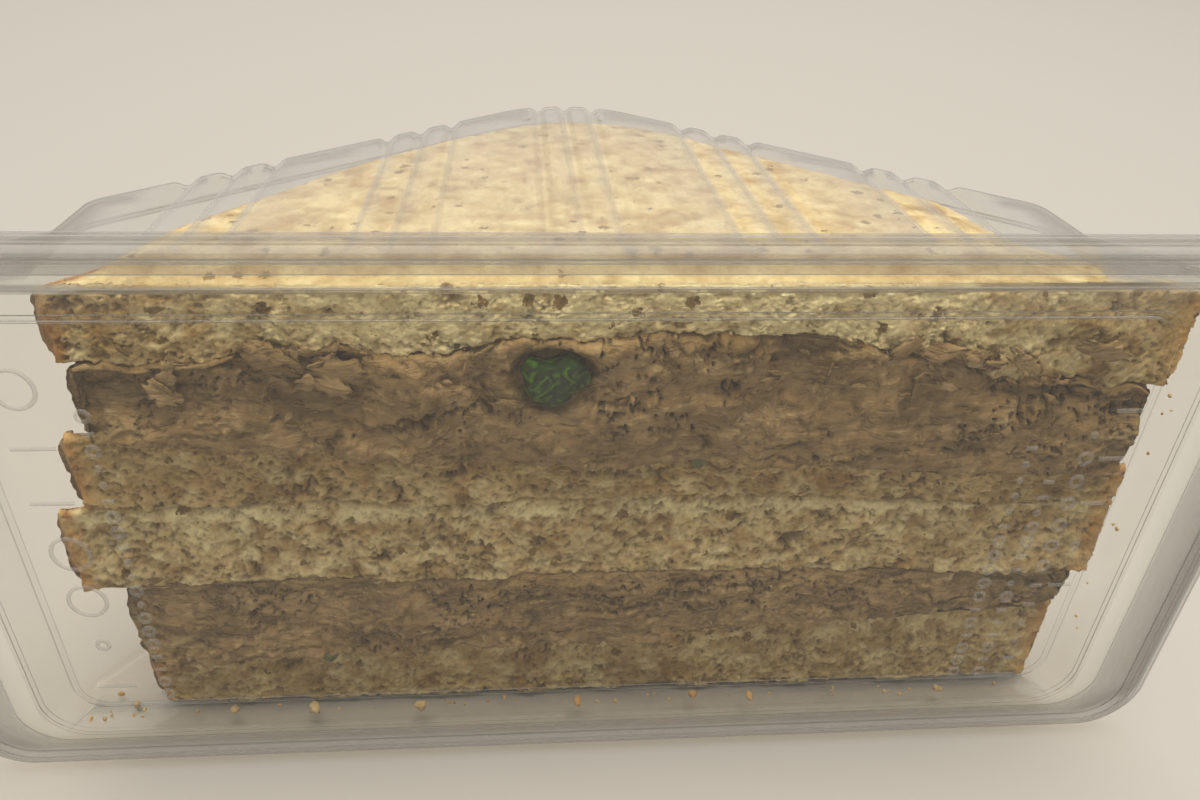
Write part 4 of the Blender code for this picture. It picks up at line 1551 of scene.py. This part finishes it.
        # The wall, rounded into the top end face and into the base
        rows = []
        for angle in np.linspace(0.0, math.pi / 2.0, 6):
            drop = self.edge_round * (1.0 - math.cos(angle))
            loop = self.outline(self.edge_round * (1.0 - math.sin(angle)))
            heights = self.top_height(np.array([tuple(p) for p in loop]))
            rows.append([(p.x, p.y, h - drop) for p, h in zip(loop, heights)])
        for angle in np.linspace(math.pi / 2.0, 0.0, 6):
            lift = self.edge_round * (1.0 - math.cos(angle))
            loop = self.outline(self.edge_round * (1.0 - math.sin(angle)))
            rows.append([(p.x, p.y, base_height(self.frame, p.y) + lift) for p in loop])
        tray.add([point for row in rows for point in row], grid_faces(len(rows), len(rows[0]), False))

        # The flange, with only the triangles outside the opening kept
        opening = [Vector((row[0][0], row[0][2])) for row in reversed(rows)]
        opening += [Vector((row[-1][0], row[-1][2])) for row in rows]
        half, height, corner = self.flange
        found, triangles = self.panel(rounded_rectangle(half, 0.0, height, corner, 14), [(opening, True)])
        loop = np.array(opening)
        edge = np.roll(loop, -1, axis=0) - loop
        middles = np.array([np.mean([tuple(found[i]) for i in face], axis=0) for face in triangles])
        away = middles[:, None, :] - loop[None]
        outside = ((edge[:, 0] * away[..., 1] - edge[:, 1] * away[..., 0]) < 0.0).any(axis=1)
        tray.add([(p.x, 0.0, p.y) for p in found], [face for face, keep in zip(triangles, outside) if keep])

        obj = tray.mesh_object(self.frame, "wedge_tray_formed")
        shape = bmesh.new()
        shape.from_mesh(obj.data)
        bmesh.ops.remove_doubles(shape, verts=shape.verts, dist=self.weld_mm * MM)
        bmesh.ops.recalc_face_normals(shape, faces=shape.faces)
        shape.to_mesh(obj.data)
        shape.free()
        obj.data.set_sharp_from_angle(angle=math.radians(self.sharp_deg))
        back = self.frame.matrix().inverted()
        spots = np.array([tuple(back @ vert.co) for vert in obj.data.vertices])
        edge = np.maximum(np.abs(spots[:, 0]) - half, np.abs(spots[:, 2] - height / 2.0) - height / 2.0)
        on_flange = (spots[:, 1] < 0.05) * (edge > -self.haze_width)
        add_field(obj, "haze", self.flange_haze * on_flange)
        formed_sheet(obj, finish, self.sheet_mm)
        place_piece(obj, self.body, "clear_plastic", "tray")


# The studio


@dataclass
class Studio:
    """Floor, lights and camera."""

    frame: PackFrame
    focal_px: float = 1000.0
    image_px: float = 1200.0
    pitch_deg: float = 34.39
    yaw_deg: float = -5.52
    roll_deg: float = -2.51
    sensor_mm: float = 36.0
    camera_mm: tuple[float, float, float] = (-8.53, -101.80, 135.53)
    floor_half_m: float = 3.0
    floor_drop_m: float = 0.0003
    room: str = "E4E0DA"
    room_light: float = 0.28
    room_mirrored: float = 0.75

    def build(self) -> None:
        """Build everything round the object."""
        self.floor()
        self.lights()
        self.camera()

    def floor(self) -> None:
        """A plain pale floor, just under the pack."""
        mesh = bpy.data.meshes.new("floor")
        corners = ((-1, -1), (1, -1), (1, 1), (-1, 1))
        mesh.from_pydata([(x * self.floor_half_m, y * self.floor_half_m, -self.floor_drop_m) for x, y in corners],
                         [], [(0, 1, 2, 3)])
        floor = bpy.data.objects.new("floor", mesh)
        mesh.materials.append(PaleFloor().build())
        bpy.context.scene.collection.objects.link(floor)
        floor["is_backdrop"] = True

    def lights(self) -> None:
        """Soft light from above, a weak fill from the front and a tube that draws thin glints on the sheet."""
        world = bpy.data.worlds.new("soft_room")
        bpy.context.scene.world = world
        world.use_nodes = True
        sky = world.node_tree.nodes["Background"]
        sky.inputs["Color"].default_value = srgb(self.room)
        # The glossy sheet mirrors walls that are brighter than the light they give
        mirrored = add_node(world.node_tree, "LightPath").outputs["Is Glossy Ray"]
        level = add_node(world.node_tree, "MapRange", {"Value": mirrored, "To Min": self.room_light,
                                                       "To Max": self.room_mirrored})
        world.node_tree.links.new(level.outputs[0], sky.inputs["Strength"])
        for name, place, aim, size, power, colour in (
                ("overhead", (0.05, 0.08, 1.05), (0.0, 0.0, 0.03), (0.75, 0.75), 14.6, "FFFAF2"),
                ("front_fill", (-0.45, -0.85, 0.55), (0.0, -0.03, 0.04), (0.7, 0.7), 0.6, "F8F5F4"),
                ("tube", (0.1, 0.30, 1.1), (0.0, 0.0, 0.03), (0.9, 0.07), 1.1, "FFFAF2")):
            data = bpy.data.lights.new(name, "AREA")
            data.shape = "RECTANGLE"
            data.size, data.size_y = size
            data.energy = power
            data.color = srgb(colour)[:3]
            lamp = bpy.data.objects.new(name, data)
            lamp.visible_glossy = name == "tube"
            lamp.location = place
            lamp.rotation_euler = (Vector(aim) - Vector(place)).to_track_quat("-Z", "Y").to_euler()
            bpy.context.scene.collection.objects.link(lamp)

    def camera(self) -> None:
        """The camera, set in the pack's frame and carried to world space."""
        turn = Matrix.Rotation(math.radians(self.yaw_deg), 3, "Z")
        right, down, ahead = (turn @ Vector(axis) for axis in ((1, 0, 0), (0, 0, -1), (0, 1, 0)))
        pitch, roll = math.radians(self.pitch_deg), math.radians(self.roll_deg)
        view = ahead * math.cos(pitch) + down * math.sin(pitch)
        below = down * math.cos(pitch) - ahead * math.sin(pitch)
        aside = right * math.cos(roll) + below * math.sin(roll)
        under = below * math.cos(roll) - right * math.sin(roll)
        axes = Matrix((aside, -under, -view)).transposed()
        tip = Matrix.Rotation(-math.radians(self.frame.draft_deg), 3, "X")
        data = bpy.data.cameras.new("camera")
        data.sensor_width = self.sensor_mm
        data.lens = self.focal_px / self.image_px * data.sensor_width
        data.clip_start = 0.005
        camera = bpy.data.objects.new("camera", data)
        place = self.frame.matrix() @ Vector(self.camera_mm)
        camera.matrix_world = Matrix.Translation(place) @ (tip @ axes).to_4x4()
        bpy.context.scene.collection.objects.link(camera)
        bpy.context.scene.camera = camera


def set_light_paths() -> None:
    """Let light pass the many clear walls, and keep the colours as they are mixed."""
    scene = bpy.context.scene
    scene.cycles.transparent_max_bounces = 40
    scene.cycles.diffuse_bounces = 3
    scene.cycles.glossy_bounces = 2
    scene.cycles.max_bounces = 6
    scene.view_settings.view_transform = "Standard"


def main() -> None:
    """Build the dressed object and its studio, piece by piece."""
    logging.basicConfig(level=logging.INFO, format="%(name)s: %(message)s")
    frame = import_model()
    cad_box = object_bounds()
    pack_frame = PackFrame(tuple(frame["joints"][0]["pos_m"]))
    pack_body, lid_body = frame["joints"][0]["parent"], frame["joints"][0]["child"]
    sandwich = Sandwich(Stack(pack_frame), pack_body)
    sandwich.build()
    Tray(pack_frame, pack_body).build(FormedClearSheet("deep_drawn_clear_sheet", roughness=0.2).build())
    clear = FormedClearSheet().build()
    WindowLid(pack_frame, lid_body).build(clear)
    WindowMarks(pack_frame, lid_body).build(clear)
    Studio(pack_frame).build()
    set_light_paths()
    ({name: [list(corner) for corner in box]
               for name, box in (("cad", cad_box), ("visual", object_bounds()))})


if __name__ == "__main__":
    main()
